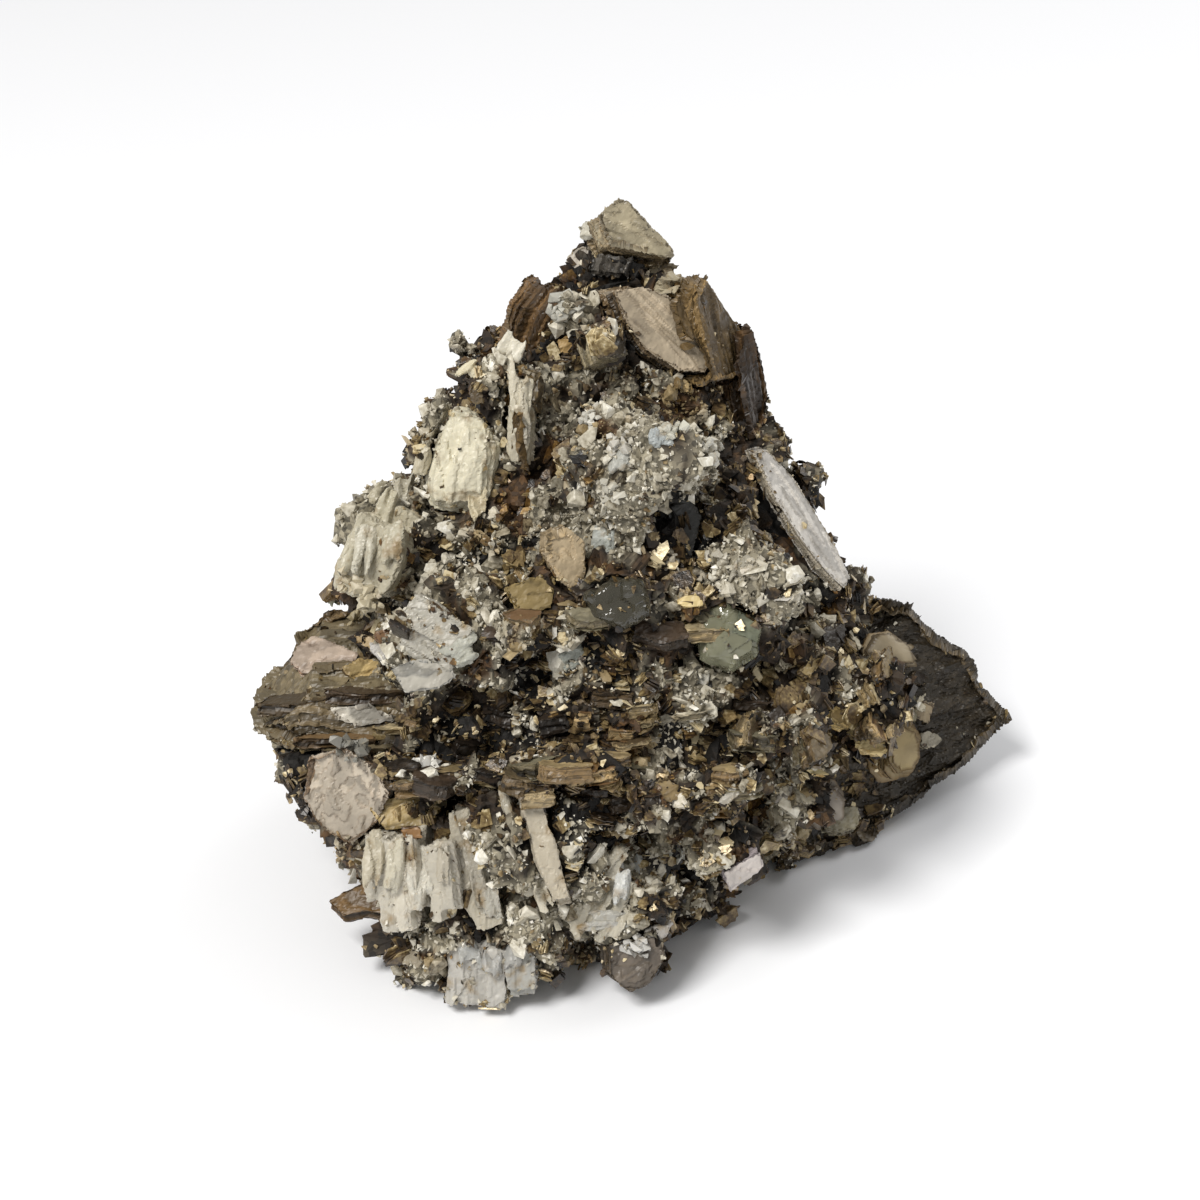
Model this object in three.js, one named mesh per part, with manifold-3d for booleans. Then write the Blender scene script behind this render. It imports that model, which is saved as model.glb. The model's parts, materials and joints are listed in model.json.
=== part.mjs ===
// A mica specimen that stands on its own broken underside. Books of mica, blades of white
// feldspar and two glassy quartz grains are grown into one rough matrix of intergrown small
// crystals. Millimetres, +Z up. -Y is the crystal-studded face, and +X is on its right.
import * as THREE from "three";
import { ConvexGeometry } from "three/addons/geometries/ConvexGeometry.js";
import { MeshSurfaceSampler } from "three/addons/math/MeshSurfaceSampler.js";
import { mergeVertices } from "three/addons/utils/BufferGeometryUtils.js";
import Module from "manifold-3d";

const wasm = await Module();
wasm.setup();

// Driving dimensions.
const GAP = 0.3; // between a crystal and the socket it fills
const LAYER_SHIFT = 0.5; // how far a layer of a book is offset at most
const LAYER_SHRINK = 0.07; // share by which a layer is smaller at most
const LAYER_TURN = 2; // how far a layer is turned at most, in degrees
const LAYER_BITE = 0.04; // how far neighbouring layers run into each other, to join them
const RUBBLE_COUNT = 48; // small blocks on the surface of the matrix
const RUBBLE_SIZE = [4, 9]; // smallest and largest of them
const RUBBLE_FLOOR = 6; // the lowest they sit
const RUBBLE_BACK = 26; // and the furthest back
const RUBBLE_SINK = 0.12; // share of a small block's size that its middle lies below the surface
const GROUND_DEPTH = 60; // of the block that trims the underside flat
const GROUND_WIDTH = 400;

// How a rough block is roughened: its corners, how box-like it is from 0 to 1, and its first seed.
const LUMP = { corners: 14, squareness: 0.5, seed: 10 };
const PIT = { corners: 9, squareness: 0.9, seed: 300 };
const RUBBLE = { corners: 8, squareness: 0.8, seed: 900 };
const RUBBLE_PLACES_SEED = 77;
const BOOK_SEED = 60;
const CORNER_REACH = [0.86, 1.04]; // share of the block's half size that a corner reaches out to

// The chamfered section of a blade: share of the outline, and level as a share of the thickness.
const BLADE_RINGS = [
  [0.8, 0.5],
  [1, 0.22],
  [1, -0.32],
  [0.88, -0.5],
];

const DEGREES = Math.PI / 180;
const UP = new THREE.Vector3(0, 0, 1);

function seededRandom(seed) {
  let state = Math.imul(seed, 2654435761);
  return () => {
    state = (state + 0x6d2b79f5) | 0;
    let mixed = Math.imul(state ^ (state >>> 15), 1 | state);
    mixed = (mixed + Math.imul(mixed ^ (mixed >>> 7), 61 | mixed)) ^ mixed;
    return ((mixed ^ (mixed >>> 14)) >>> 0) / 4294967296;
  };
}

// ---- solids -------------------------------------------------------------------------------

function toSolid(geometry, matrix) {
  const bare = geometry.index ? geometry.toNonIndexed() : geometry.clone();
  bare.deleteAttribute("normal");
  bare.deleteAttribute("uv");
  if (matrix) bare.applyMatrix4(matrix);
  const merged = mergeVertices(bare, 1e-3);
  return new wasm.Manifold(
    new wasm.Mesh({
      numProp: 3,
      vertProperties: merged.attributes.position.array,
      triVerts: new Uint32Array(merged.index.array),
    }),
  );
}

function toGeometry(solid, matrix) {
  const mesh = solid.getMesh();
  const geometry = new THREE.BufferGeometry();
  const positions = new THREE.BufferAttribute(new Float32Array(mesh.vertProperties), 3);
  geometry.setAttribute("position", positions);
  geometry.setIndex(new THREE.BufferAttribute(mesh.triVerts, 1));
  if (matrix) geometry.applyMatrix4(matrix);
  geometry.computeVertexNormals();
  return geometry;
}

function joinAll(solids) {
  return solids.reduce((whole, solid) => whole.add(solid));
}

// A cut can leave splinters behind. The largest body is the piece.
function largestBody(solid) {
  const bodies = solid.decompose();
  return bodies.reduce((best, body) => (body.volume() > best.volume() ? body : best));
}

// ---- shapes -------------------------------------------------------------------------------

// A rough block: the hull of jittered points spread over a rounded box of the given size.
function blockGeometry(size, { corners, squareness, seed }, index) {
  const random = seededRandom(seed + index);
  const golden = Math.PI * (3 - Math.sqrt(5));
  const [nearest, furthest] = CORNER_REACH;
  const points = [];
  for (let i = 0; i < corners; i += 1) {
    const height = 1 - (2 * (i + 0.5)) / corners;
    const ring = Math.sqrt(1 - height * height);
    const angle = i * golden + 0.9 * random();
    const point = new THREE.Vector3(ring * Math.cos(angle), ring * Math.sin(angle), height);
    const longest = Math.max(Math.abs(point.x), Math.abs(point.y), Math.abs(point.z));
    const boxed = 1 + squareness * (1 / longest - 1);
    point.multiplyScalar(boxed * (nearest + (furthest - nearest) * random()));
    points.push(point.multiply(new THREE.Vector3(...size)).multiplyScalar(0.5));
  }
  return new ConvexGeometry(points);
}

// The turn that lays a piece's +Z along a face direction and keeps its +Y as upright as it can.
function facing(direction, spin = 0) {
  const normal = new THREE.Vector3(...direction).normalize();
  const rise = UP.clone().addScaledVector(normal, -UP.dot(normal)).normalize();
  const across = rise.clone().cross(normal);
  const basis = new THREE.Matrix4().makeBasis(across, rise, normal);
  const turned = new THREE.Quaternion().setFromRotationMatrix(basis);
  return turned.multiply(new THREE.Quaternion().setFromAxisAngle(UP, spin * DEGREES));
}

// An outline's corners, moved out so that each side lies the given distance further out.
function outset(outline, distance) {
  const corners = outline.map((point) => new THREE.Vector2(...point));
  const around = THREE.ShapeUtils.isClockWise(corners) ? -1 : 1;
  return corners.map((corner, i) => {
    const before = corners.at(i - 1);
    const after = corners[(i + 1) % corners.length];
    const into = corner.clone().sub(before).normalize();
    const out = after.clone().sub(corner).normalize();
    const normal = new THREE.Vector2(into.y + out.y, -into.x - out.x).normalize();
    const reach = distance / Math.max(0.4, normal.dot(new THREE.Vector2(into.y, -into.x)));
    return corner.clone().addScaledVector(normal, around * reach);
  });
}

// A book of mica: layers of one outline, each a little offset and turned, joined into one body.
function bookSolid({ outline, thick, layers, seed }, grow = 0) {
  const random = seededRandom(seed);
  const shape = new THREE.Shape(outset(outline, grow));
  const layerThick = thick / layers;
  const depth = layerThick + LAYER_BITE + 2 * grow;
  const plates = Array.from({ length: layers }, (_, i) => {
    const geometry = new THREE.ExtrudeGeometry(shape, { depth, bevelEnabled: false });
    const size = 1 - LAYER_SHRINK * random();
    const shiftAcross = (2 * random() - 1) * LAYER_SHIFT;
    const shiftUp = (2 * random() - 1) * LAYER_SHIFT;
    geometry.scale(size, size, 1);
    geometry.rotateZ((2 * random() - 1) * LAYER_TURN * DEGREES);
    geometry.translate(shiftAcross, shiftUp, i * layerThick - thick / 2 - grow);
    return toSolid(geometry);
  });
  return joinAll(plates);
}

// A blade of feldspar: the hull of an outline, chamfered at the front and a little at the back.
function bladeSolid({ outline, thick }, grow = 0) {
  const corners = outset(outline, grow);
  const depth = thick + 2 * grow;
  const points = BLADE_RINGS.flatMap(([size, level]) =>
    corners.map(({ x, y }) => new THREE.Vector3(x * size, y * size, level * depth)),
  );
  return toSolid(new ConvexGeometry(points));
}

// An outline with n corners on an oval, roughened a little.
function oval(width, height, corners, seed) {
  const random = seededRandom(seed);
  return Array.from({ length: corners }, (_, i) => {
    const angle = ((i + 0.3 * random()) / corners) * 2 * Math.PI;
    const reach = 0.5 * (0.92 + 0.16 * random());
    return [width * reach * Math.cos(angle), height * reach * Math.sin(angle)];
  });
}

// ---- the matrix ---------------------------------------------------------------------------

// The main mass is two stacked hulls: one from the ground to the waist, one from there up.
const WAIST = [
  [-42, -8, 34],
  [-30, -23, 38],
  [-8, -27, 40],
  [10, -25, 40],
  [25, -15, 38],
  [37, 2, 36],
  [33, 20, 34],
  [12, 36, 34],
  [-14, 38, 34],
  [-34, 26, 34],
];
const FOOT = [
  [-30, -24, 0],
  [-12, -28, 0],
  [2, -26, 0],
  [10, -18, 0],
  [20, 6, 0],
  [20, 28, 0],
  [0, 38, 0],
  [-24, 32, 0],
  [-38, 10, 3],
  [-42, -10, 10],
  [34, 2, 16],
];
const SUMMIT = [
  [-7, 12, 88],
  [2, 12, 88],
  [-9, 22, 89],
  [6, 24, 88],
  [-1, 20, 93],
  [11, 12, 76],
  [-19, 5, 72],
  [-4, -6, 68],
  [9, -4, 64],
  [-31, 6, 57],
  [21, 6, 56],
  [15, 30, 60],
  [-18, 30, 62],
];

// Each lump is a centre and a size. They give the mass its feet, bellies, ribs and shoulders.
const LUMPS = [
  { at: [-25, -28, 9], size: [22, 23, 20] }, // front left foot
  { at: [-14, -29, 9], size: [14, 18, 18] }, // heel beside it
  { at: [1, -27, 10], size: [16, 20, 20] }, // front middle foot
  { at: [-33, -22, 22], size: [20, 22, 20] }, // belly, left
  { at: [-12, -27, 24], size: [24, 18, 20] }, // belly, middle
  { at: [9, -22, 24], size: [22, 20, 20] }, // belly, right
  { at: [22, -11, 25], size: [20, 18, 18] }, // right flank
  { at: [33, -1, 29], size: [16, 18, 22] }, // right bulge
  { at: [-43, -13, 25], size: [12, 18, 20] }, // left flank
  { at: [-22, -26, 15], size: [14, 15, 14] }, // rib between the bellies
  { at: [-26, -26, 34], size: [24, 14, 8] }, // ribs of the belt, from left to right
  { at: [-8, -30, 36], size: [26, 13, 7] },
  { at: [8, -28, 32], size: [24, 14, 8] },
  { at: [20, -20, 37], size: [20, 14, 8] },
  { at: [-20, -20, 50], size: [22, 14, 12] }, // left of the face
  { at: [-32, -2, 52], size: [15, 18, 18] }, // left shoulder
  { at: [-4, -17, 54], size: [20, 14, 16] }, // middle of the face
  { at: [15, -11, 51], size: [20, 16, 18] }, // right of the face
  { at: [2, -8, 69], size: [20, 12, 14] }, // upper face
  { at: [-25, 3, 66], size: [14, 13, 16] }, // left ridge
  { at: [-16, 4, 76], size: [14, 14, 16] }, // upper left ridge
  { at: [-4, 6, 82], size: [12, 10, 12] }, // throat under the apex
  { at: [-18, 32, 18], size: [32, 22, 30] }, // back, from the ground up
  { at: [10, 33, 14], size: [30, 20, 26] },
  { at: [25, 20, 26], size: [20, 24, 26] },
  { at: [-34, 14, 22], size: [20, 26, 26] },
  { at: [-4, 34, 44], size: [34, 16, 24] },
  { at: [14, 28, 58], size: [18, 14, 22] },
  { at: [-18, 28, 64], size: [18, 14, 20] },
  { at: [0, 27, 77], size: [18, 12, 20] },
];

// Dark pits where the crystals left gaps: a centre and a size.
const PITS = [
  { at: [-16, -31, 42], size: [13, 12, 5] },
  { at: [4, -30, 43], size: [10, 11, 4] },
  { at: [-24, -26, 37], size: [16, 10, 4] },
  { at: [-5, -33, 34], size: [5, 10, 7] },
  { at: [-1, -36, 26], size: [5, 8, 6] },
  { at: [10, -30, 17], size: [6, 12, 8] },
  { at: [-9, -40, 12], size: [4, 14, 12] },
  { at: [-45, -20, 34], size: [8, 8, 6] },
  { at: [8, -17, 64], size: [5, 8, 8] },
  { at: [-12, -16, 68], size: [4, 8, 9] },
  { at: [-30, -14, 62], size: [4, 8, 6] },
];

function hullSolid(points) {
  return toSolid(new ConvexGeometry(points.map((point) => new THREE.Vector3(...point))));
}

// Small blocks scattered over the surface, in front of the back and clear of the ground.
function rubble(surface) {
  const random = seededRandom(RUBBLE_PLACES_SEED);
  const sampler = new MeshSurfaceSampler(new THREE.Mesh(surface));
  sampler.setRandomGenerator(random).build();
  const place = new THREE.Vector3();
  const outward = new THREE.Vector3();
  return Array.from({ length: RUBBLE_COUNT }, (_, i) => {
    do sampler.sample(place, outward);
    while (place.z < RUBBLE_FLOOR || place.y > RUBBLE_BACK);
    const side = () => RUBBLE_SIZE[0] + random() * (RUBBLE_SIZE[1] - RUBBLE_SIZE[0]);
    const size = [side(), side(), side()];
    const turn = new THREE.Euler(random() * 3, random() * 3, random() * 3);
    const geometry = blockGeometry(size, RUBBLE, i);
    const spot = place.clone().addScaledVector(outward, -RUBBLE_SINK * Math.min(...size));
    const matrix = new THREE.Matrix4().makeRotationFromEuler(turn).setPosition(spot);
    return toSolid(geometry, matrix);
  });
}

function matrixSolid() {
  const blocks = (places, kind) =>
    places.map(({ at, size }, i) => toSolid(blockGeometry(size, kind, i).translate(...at)));
  const hulls = [hullSolid([...FOOT, ...WAIST]), hullSolid([...WAIST, ...SUMMIT])];
  const mass = joinAll([...hulls, ...blocks(LUMPS, LUMP)]);
  const grown = joinAll([mass, ...rubble(toGeometry(mass).toNonIndexed())]);
  return grown.subtract(joinAll(blocks(PITS, PIT)));
}

// ---- the crystals -------------------------------------------------------------------------

// at is the middle of a piece, face the way its broad side looks, and outline that side's
// corners as [across, up]. spin turns the outline on its face, in degrees.
const BOOKS = [
  {
    name: "apex_book",
    finish: "mica",
    at: [1, 18, 93],
    face: [0.25, -0.8, 0.55],
    thick: 8,
    layers: 3,
    outline: [
      [-6.5, 2.9],
      [-3, 5.2],
      [1.4, 3.2],
      [4.7, -0.7],
      [6.8, -4],
      [2.9, -4.4],
      [-2.2, -2.8],
      [-5.4, -1.8],
    ],
  },
  {
    name: "silver_book",
    finish: "mica",
    at: [4, 9.4, 82.8],
    face: [0.42, -0.78, 0.46],
    thick: 6,
    layers: 4,
    outline: [
      [-7.2, 7],
      [-2.2, 6.8],
      [1.9, 4.6],
      [5, -1.9],
      [6.8, -5.8],
      [5, -7.6],
      [0.7, -6.6],
      [-3.9, -2.6],
      [-6.2, 2],
    ],
  },
  {
    name: "fan_book",
    finish: "mica",
    at: [10.4, 12.5, 81.8],
    face: [0.85, -0.45, 0.25],
    thick: 8,
    layers: 5,
    outline: [
      [-6, 6],
      [-1, 8.5],
      [4, 7],
      [6, 0],
      [5, -7],
      [0, -8.5],
      [-6, -6.5],
    ],
  },
  {
    name: "shoulder_book",
    finish: "dark_mica",
    at: [16.2, 15, 72.4],
    face: [0.93, -0.3, 0.2],
    thick: 5,
    layers: 4,
    outline: [
      [-5.5, 5],
      [-2, 8.5],
      [3, 8],
      [6, 3],
      [6, -6],
      [1, -9],
      [-4.5, -8],
    ],
  },
  {
    name: "side_plate",
    finish: "mica",
    at: [24.7, 5.2, 55.2],
    face: [0.72, -0.38, 0.58],
    thick: 2,
    layers: 2,
    outline: [
      [-2, 13],
      [1.5, 12],
      [3.6, 6],
      [4, -1],
      [3.6, -8],
      [2.4, -12.5],
      [-0.5, -13],
      [-2.6, -8],
      [-3.5, -1],
      [-3.5, 6],
    ],
  },
  {
    name: "ledge_book",
    finish: "mica",
    at: [-40, -6, 35.6],
    face: [-0.05, -0.12, 0.99],
    spin: 23,
    thick: 8,
    layers: 6,
    outline: [
      [-15, -1.5],
      [-13, -7.5],
      [-7.5, -12],
      [3, -15],
      [13, -13],
      [16, -4],
      [14, 9],
      [4, 14.5],
      [-6, 11],
      [-12.5, 5],
    ],
  },
  {
    name: "pink_plate",
    finish: "mica",
    at: [-38.8, -25.9, 29.4],
    face: [-0.3, -0.9, 0.25],
    thick: 3.6,
    layers: 3,
    outline: [
      [-6.2, 4.3],
      [-0.4, 6.9],
      [4.6, 4.6],
      [6.8, 1.4],
      [5.3, -3.6],
      [1.3, -7.9],
      [-3.6, -6],
      [-6.5, -2.2],
    ],
  },
  {
    name: "dark_slab",
    finish: "dark_mica",
    at: [38.6, 16, 12.6],
    face: [0.45, -0.72, 0.5],
    thick: 7,
    layers: 4,
    outline: [
      [-24, -16],
      [-10, -15.5],
      [2, -13.5],
      [13, -10.5],
      [24, -5.5],
      [20.5, 1],
      [19, 7],
      [14.5, 11],
      [11, 17],
      [3.5, 20],
      [-8, 18],
      [-20, 6],
    ],
  },
  {
    name: "toe_book",
    finish: "dark_mica",
    at: [1.1, -35.7, 6.8],
    face: [0.1, -0.9, 0.35],
    thick: 4.5,
    layers: 3,
    outline: [
      [-4.4, 3.5],
      [2.9, 4.4],
      [4.4, 1.2],
      [1.9, -3],
      [-1.4, -4.2],
      [-4.4, -1.4],
    ],
  },
  {
    name: "tab_book",
    finish: "mica",
    at: [-38, -24, 8.6],
    face: [-0.1, -0.7, 0.7],
    thick: 3,
    layers: 2,
    outline: [
      [-4.6, -0.9],
      [-1, 1.7],
      [1.9, 3.2],
      [6.5, 2.6],
      [7, -2.2],
      [1.4, -1.9],
      [-2, -3],
    ],
  },
  {
    name: "crest_book",
    finish: "dark_mica",
    at: [-12.6, 15, 82.4],
    face: [0.9, -0.3, -0.3],
    thick: 7.5,
    layers: 5,
    outline: [
      [-5, 3.6],
      [0, 5.4],
      [5, 4],
      [5, -4],
      [-1, -5.5],
      [-5, -4],
    ],
  },
  {
    name: "upper_rosette",
    finish: "mica",
    at: [37.5, -0.6, 36.6],
    face: [0.3, -0.65, 0.7],
    thick: 3.4,
    layers: 3,
    outline: [
      [-4.6, 1],
      [-2.3, 3.4],
      [1.2, 3.2],
      [4.4, -0.2],
      [5, -3.4],
      [0.6, -3.2],
      [-3.8, -2],
    ],
  },
  {
    name: "middle_rosette",
    finish: "mica",
    at: [39.6, -5, 22.9],
    face: [0.45, -0.85, 0.3],
    thick: 4.6,
    layers: 4,
    outline: oval(9.5, 11.5, 9, 41),
  },
  {
    name: "lower_rosette",
    finish: "mica",
    at: [27.8, -14.5, 19.3],
    face: [0.3, -0.85, 0.4],
    thick: 4.6,
    layers: 4,
    outline: oval(8.8, 9.6, 9, 42),
  },
  {
    name: "leaf_book",
    finish: "mica",
    at: [-8.5, -16.7, 60.7],
    face: [0.25, -0.9, 0.35],
    thick: 4,
    layers: 3,
    outline: [
      [-2.6, 4],
      [0.9, 4.6],
      [3.2, 2.3],
      [2.9, -2.5],
      [1.5, -5.6],
      [-1.2, -3.2],
      [-3, 0.9],
    ],
  },
];

const BLADES = [
  {
    name: "wedge_blade",
    at: [-22.8, 0.8, 67.4],
    face: [-0.25, -0.85, 0.45],
    thick: 9,
    outline: [
      [-1.4, 7.6],
      [2.2, 6.9],
      [5, 2.3],
      [4.9, -4.6],
      [1, -7.8],
      [-3.6, -5.8],
      [-5, -0.6],
    ],
  },
  {
    name: "shoulder_blade",
    at: [-34.9, -5.9, 56.3],
    face: [-0.4, -0.8, 0.4],
    thick: 8,
    outline: [
      [-2.6, 3.6],
      [1, 6.7],
      [4.3, 5.8],
      [5, -2.2],
      [2.4, -6.5],
      [-1.9, -6.8],
      [-3.8, -3.6],
    ],
  },
  {
    name: "ridge_blade",
    at: [-14.6, -0.7, 73.9],
    face: [-0.1, -0.9, 0.4],
    thick: 6,
    outline: [
      [-1.8, 5.5],
      [0.4, 6.4],
      [2, 4.8],
      [1.8, -4.6],
      [-0.3, -6.4],
      [-1.9, -3.2],
    ],
  },
  {
    name: "left_long_blade",
    at: [-21.3, -32.4, 20.6],
    face: [0, -0.9, 0.4],
    thick: 5,
    outline: [
      [-2.8, 8.9],
      [-0.8, 9.6],
      [1, 2.9],
      [3.4, -2.9],
      [4.3, -7.8],
      [1.2, -8.8],
      [-1.5, -3.6],
      [-2.7, 3.6],
    ],
  },
  {
    name: "middle_long_blade",
    at: [-12, -33.7, 27.4],
    face: [0.1, -0.9, 0.4],
    thick: 5,
    outline: [
      [-3.4, 10.8],
      [-1.4, 11.4],
      [0.4, 5.8],
      [1.9, -1.4],
      [4.2, -10.4],
      [2, -11.2],
      [-1.2, -2.2],
      [-2.8, 5.8],
    ],
  },
  {
    name: "ribbed_block",
    at: [-29.3, -33.5, 20.1],
    face: [-0.2, -0.9, 0.35],
    thick: 8,
    outline: [
      [-5.8, 5.3],
      [-0.3, 7.2],
      [5.5, 5.3],
      [6.9, 0.3],
      [4.7, -4.7],
      [-0.3, -7.6],
      [-4.9, -4],
    ],
  },
  {
    name: "heel_block",
    at: [-21.1, -35.6, 5.6],
    face: [0, -0.9, 0.3],
    thick: 6,
    outline: oval(9, 10.5, 8, 43),
  },
  {
    name: "small_heel_block",
    at: [-14.9, -36, 6.4],
    face: [0.1, -0.9, 0.3],
    thick: 5,
    outline: oval(5.4, 8.4, 7, 44),
  },
  {
    name: "waist_slab",
    at: [-25.8, -23.9, 52.3],
    face: [-0.1, -0.85, 0.5],
    thick: 5,
    outline: [
      [-5.8, 4],
      [-2.2, 4.7],
      [3.6, 2.6],
      [6.2, -0.3],
      [3.9, -3.9],
      [0, -5.2],
      [-4.4, -1.7],
    ],
  },
];

// Two blades grown through each other at a corner, so they are one body.
const ELBOW = {
  name: "elbow_blade",
  at: [-3.7, -33.2, 15.3],
  face: [0.05, -0.9, 0.4],
  arms: [
    { outline: oval(3.6, 11.5, 7, 45), thick: 4.5, shift: [2.2, 2.6] },
    { outline: oval(10.5, 4, 7, 46), thick: 4.5, shift: [-1.6, -2.6] },
  ],
};

const GRAINS = [
  {
    name: "green_quartz",
    at: [13.7, -16.6, 48.7],
    face: [0.1, -0.85, 0.5],
    thick: 8,
    outline: [
      [-4.3, 2.9],
      [0, 4.8],
      [4.4, 1.7],
      [3.9, -3],
      [0, -5.2],
      [-4.1, -3.3],
    ],
  },
  {
    name: "smoky_quartz",
    at: [-1.7, -21.5, 56.4],
    face: [0, -0.85, 0.5],
    thick: 7,
    outline: [
      [-3.9, 1.2],
      [-0.7, 3.7],
      [3.6, 2.9],
      [4.7, -1],
      [1.4, -3.5],
      [-3.1, -2],
    ],
  },
];

// ---- assembly -----------------------------------------------------------------------------

const FINISHES = {
  matrix: new THREE.MeshStandardMaterial({ color: 0x8d8170, roughness: 0.85, metalness: 0 }),
  mica: new THREE.MeshStandardMaterial({ color: 0x9f9078, roughness: 0.35, metalness: 0.2 }),
  dark_mica: new THREE.MeshStandardMaterial({ color: 0x4d4033, roughness: 0.4, metalness: 0.15 }),
  feldspar: new THREE.MeshStandardMaterial({ color: 0xcdc8b8, roughness: 0.55, metalness: 0 }),
  quartz: new THREE.MeshStandardMaterial({ color: 0x5d6350, roughness: 0.12, metalness: 0 }),
};

function elbowSolid({ arms }, grow = 0) {
  return joinAll(arms.map((arm) => bladeSolid(arm, grow).translate([...arm.shift, 0])));
}

const CRYSTALS = [
  ...BLADES.map((spec) => ({ spec, finish: "feldspar", solidOf: bladeSolid })),
  { spec: ELBOW, finish: "feldspar", solidOf: elbowSolid },
  ...GRAINS.map((spec) => ({ spec, finish: "quartz", solidOf: bladeSolid })),
  ...BOOKS.map((spec, i) => ({ spec: { ...spec, seed: BOOK_SEED + i }, solidOf: bookSolid })),
];

// Each crystal is trimmed by the ground and by the sockets of the ones before it, and the
// matrix by them all. solidOf builds a crystal from its spec, and its socket with GAP as well.
function build() {
  const specimen = new THREE.Group();
  const ground = new THREE.BoxGeometry(GROUND_WIDTH, GROUND_WIDTH, GROUND_DEPTH);
  let taken = toSolid(ground.translate(0, 0, -GROUND_DEPTH / 2));
  for (const { spec, solidOf, finish = spec.finish } of CRYSTALS) {
    const mesh = new THREE.Mesh(undefined, FINISHES[finish]);
    mesh.name = spec.name;
    mesh.position.set(...spec.at);
    mesh.quaternion.copy(facing(spec.face, spec.spin));
    mesh.updateMatrix();
    const whole = toSolid(toGeometry(solidOf(spec)), mesh.matrix);
    const fitted = largestBody(whole.subtract(taken));
    mesh.geometry = toGeometry(fitted, mesh.matrix.clone().invert());
    taken = taken.add(toSolid(toGeometry(solidOf(spec, GAP)), mesh.matrix));
    specimen.add(mesh);
  }
  const matrix = new THREE.Mesh(
    toGeometry(largestBody(matrixSolid().subtract(taken))),
    FINISHES.matrix,
  );
  matrix.name = "matrix";
  specimen.add(matrix);
  // The origin is on the ground, under the middle of the whole.
  const middle = new THREE.Box3().setFromObject(specimen, true).getCenter(new THREE.Vector3());
  specimen.position.set(-middle.x, -middle.y, 0);
  return specimen;
}

export default build();
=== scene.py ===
"""A mica crystal specimen: books of mica, white feldspar and smoky quartz grown into one rough matrix."""

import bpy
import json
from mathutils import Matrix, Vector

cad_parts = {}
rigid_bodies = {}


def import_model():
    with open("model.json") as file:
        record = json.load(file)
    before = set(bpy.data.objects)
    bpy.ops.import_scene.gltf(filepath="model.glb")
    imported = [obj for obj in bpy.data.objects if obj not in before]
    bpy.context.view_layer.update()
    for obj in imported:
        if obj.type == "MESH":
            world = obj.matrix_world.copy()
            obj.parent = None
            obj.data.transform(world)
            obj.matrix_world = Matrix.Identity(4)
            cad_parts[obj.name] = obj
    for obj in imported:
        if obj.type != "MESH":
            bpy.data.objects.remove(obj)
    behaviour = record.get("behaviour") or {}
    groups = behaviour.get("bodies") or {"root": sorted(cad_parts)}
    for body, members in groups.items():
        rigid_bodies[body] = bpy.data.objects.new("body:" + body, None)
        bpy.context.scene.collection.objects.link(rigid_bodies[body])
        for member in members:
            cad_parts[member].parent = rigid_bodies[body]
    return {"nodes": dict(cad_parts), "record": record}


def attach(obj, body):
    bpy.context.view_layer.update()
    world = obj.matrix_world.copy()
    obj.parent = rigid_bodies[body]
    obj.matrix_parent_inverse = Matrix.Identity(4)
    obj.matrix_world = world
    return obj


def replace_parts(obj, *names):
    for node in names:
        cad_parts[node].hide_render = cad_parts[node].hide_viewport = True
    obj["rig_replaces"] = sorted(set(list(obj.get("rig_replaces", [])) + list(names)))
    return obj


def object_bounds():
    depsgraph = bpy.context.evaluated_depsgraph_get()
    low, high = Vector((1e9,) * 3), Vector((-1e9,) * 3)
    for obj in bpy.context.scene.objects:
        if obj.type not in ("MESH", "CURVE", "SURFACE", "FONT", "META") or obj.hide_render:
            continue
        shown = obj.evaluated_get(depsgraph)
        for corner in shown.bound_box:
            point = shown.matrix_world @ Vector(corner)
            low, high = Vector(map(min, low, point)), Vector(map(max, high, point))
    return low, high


bl_info = {
    "name": "Mica crystal specimen",
    "version": (1, 0, 0),
    "blender": (4, 5, 0),
    "location": "3D View > Sidebar > Specimen",
    "description": "Builds a free-standing mica specimen round its fixed frame",
    "category": "Add Mesh",
}

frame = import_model()

import functools
import json
import math
import random
from collections import namedtuple

import bmesh
import bpy
import numpy as np
from bpy.props import FloatProperty, FloatVectorProperty, IntProperty, PointerProperty
from mathutils import Vector, noise
from mathutils.bvhtree import BVHTree

MM = 0.001
CAD_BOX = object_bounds()
MIDDLE = (CAD_BOX[0] + CAD_BOX[1]) / 2

# The camera looks at a point a little below and to the left of the specimen's middle.
AIM = MIDDLE + Vector((-6.9, -1.6, -5.2)) * MM


# ----------------------------------------------------------------------------------------------------
# Settings that a user would change


def linear(code):
    """An sRGB colour written as six hex digits, as linear red, green and blue."""
    channels = [int(code[i : i + 2], 16) / 255 for i in (0, 2, 4)]
    return tuple(c / 12.92 if c <= 0.04045 else ((c + 0.055) / 1.055) ** 2.4 for c in channels)


def toned_down(code, share):
    """That share of a colour, as six hex digits again."""
    return "".join(f"{round(int(code[i : i + 2], 16) * share):02X}" for i in (0, 2, 4))


def length(name, description, default_mm):
    """A length property, in metres, with its default given in millimetres."""
    return FloatProperty(name=name, description=description, default=default_mm * MM, min=0, unit="LENGTH")


def amount(name, description, default):
    """A share from 0 to 1."""
    return FloatProperty(name=name, description=description, default=default, min=0, max=1, subtype="FACTOR")


def per_area(name, description, default):
    """How many pieces there are on each square centimetre."""
    return FloatProperty(name=name, description=description, default=default, min=0, subtype="UNSIGNED")


def colour(name, description, code):
    """A colour property, with its default given as sRGB hex."""
    return FloatVectorProperty(
        name=name, description=description, default=linear(code), size=3, min=0, max=1, subtype="COLOR"
    )


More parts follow.
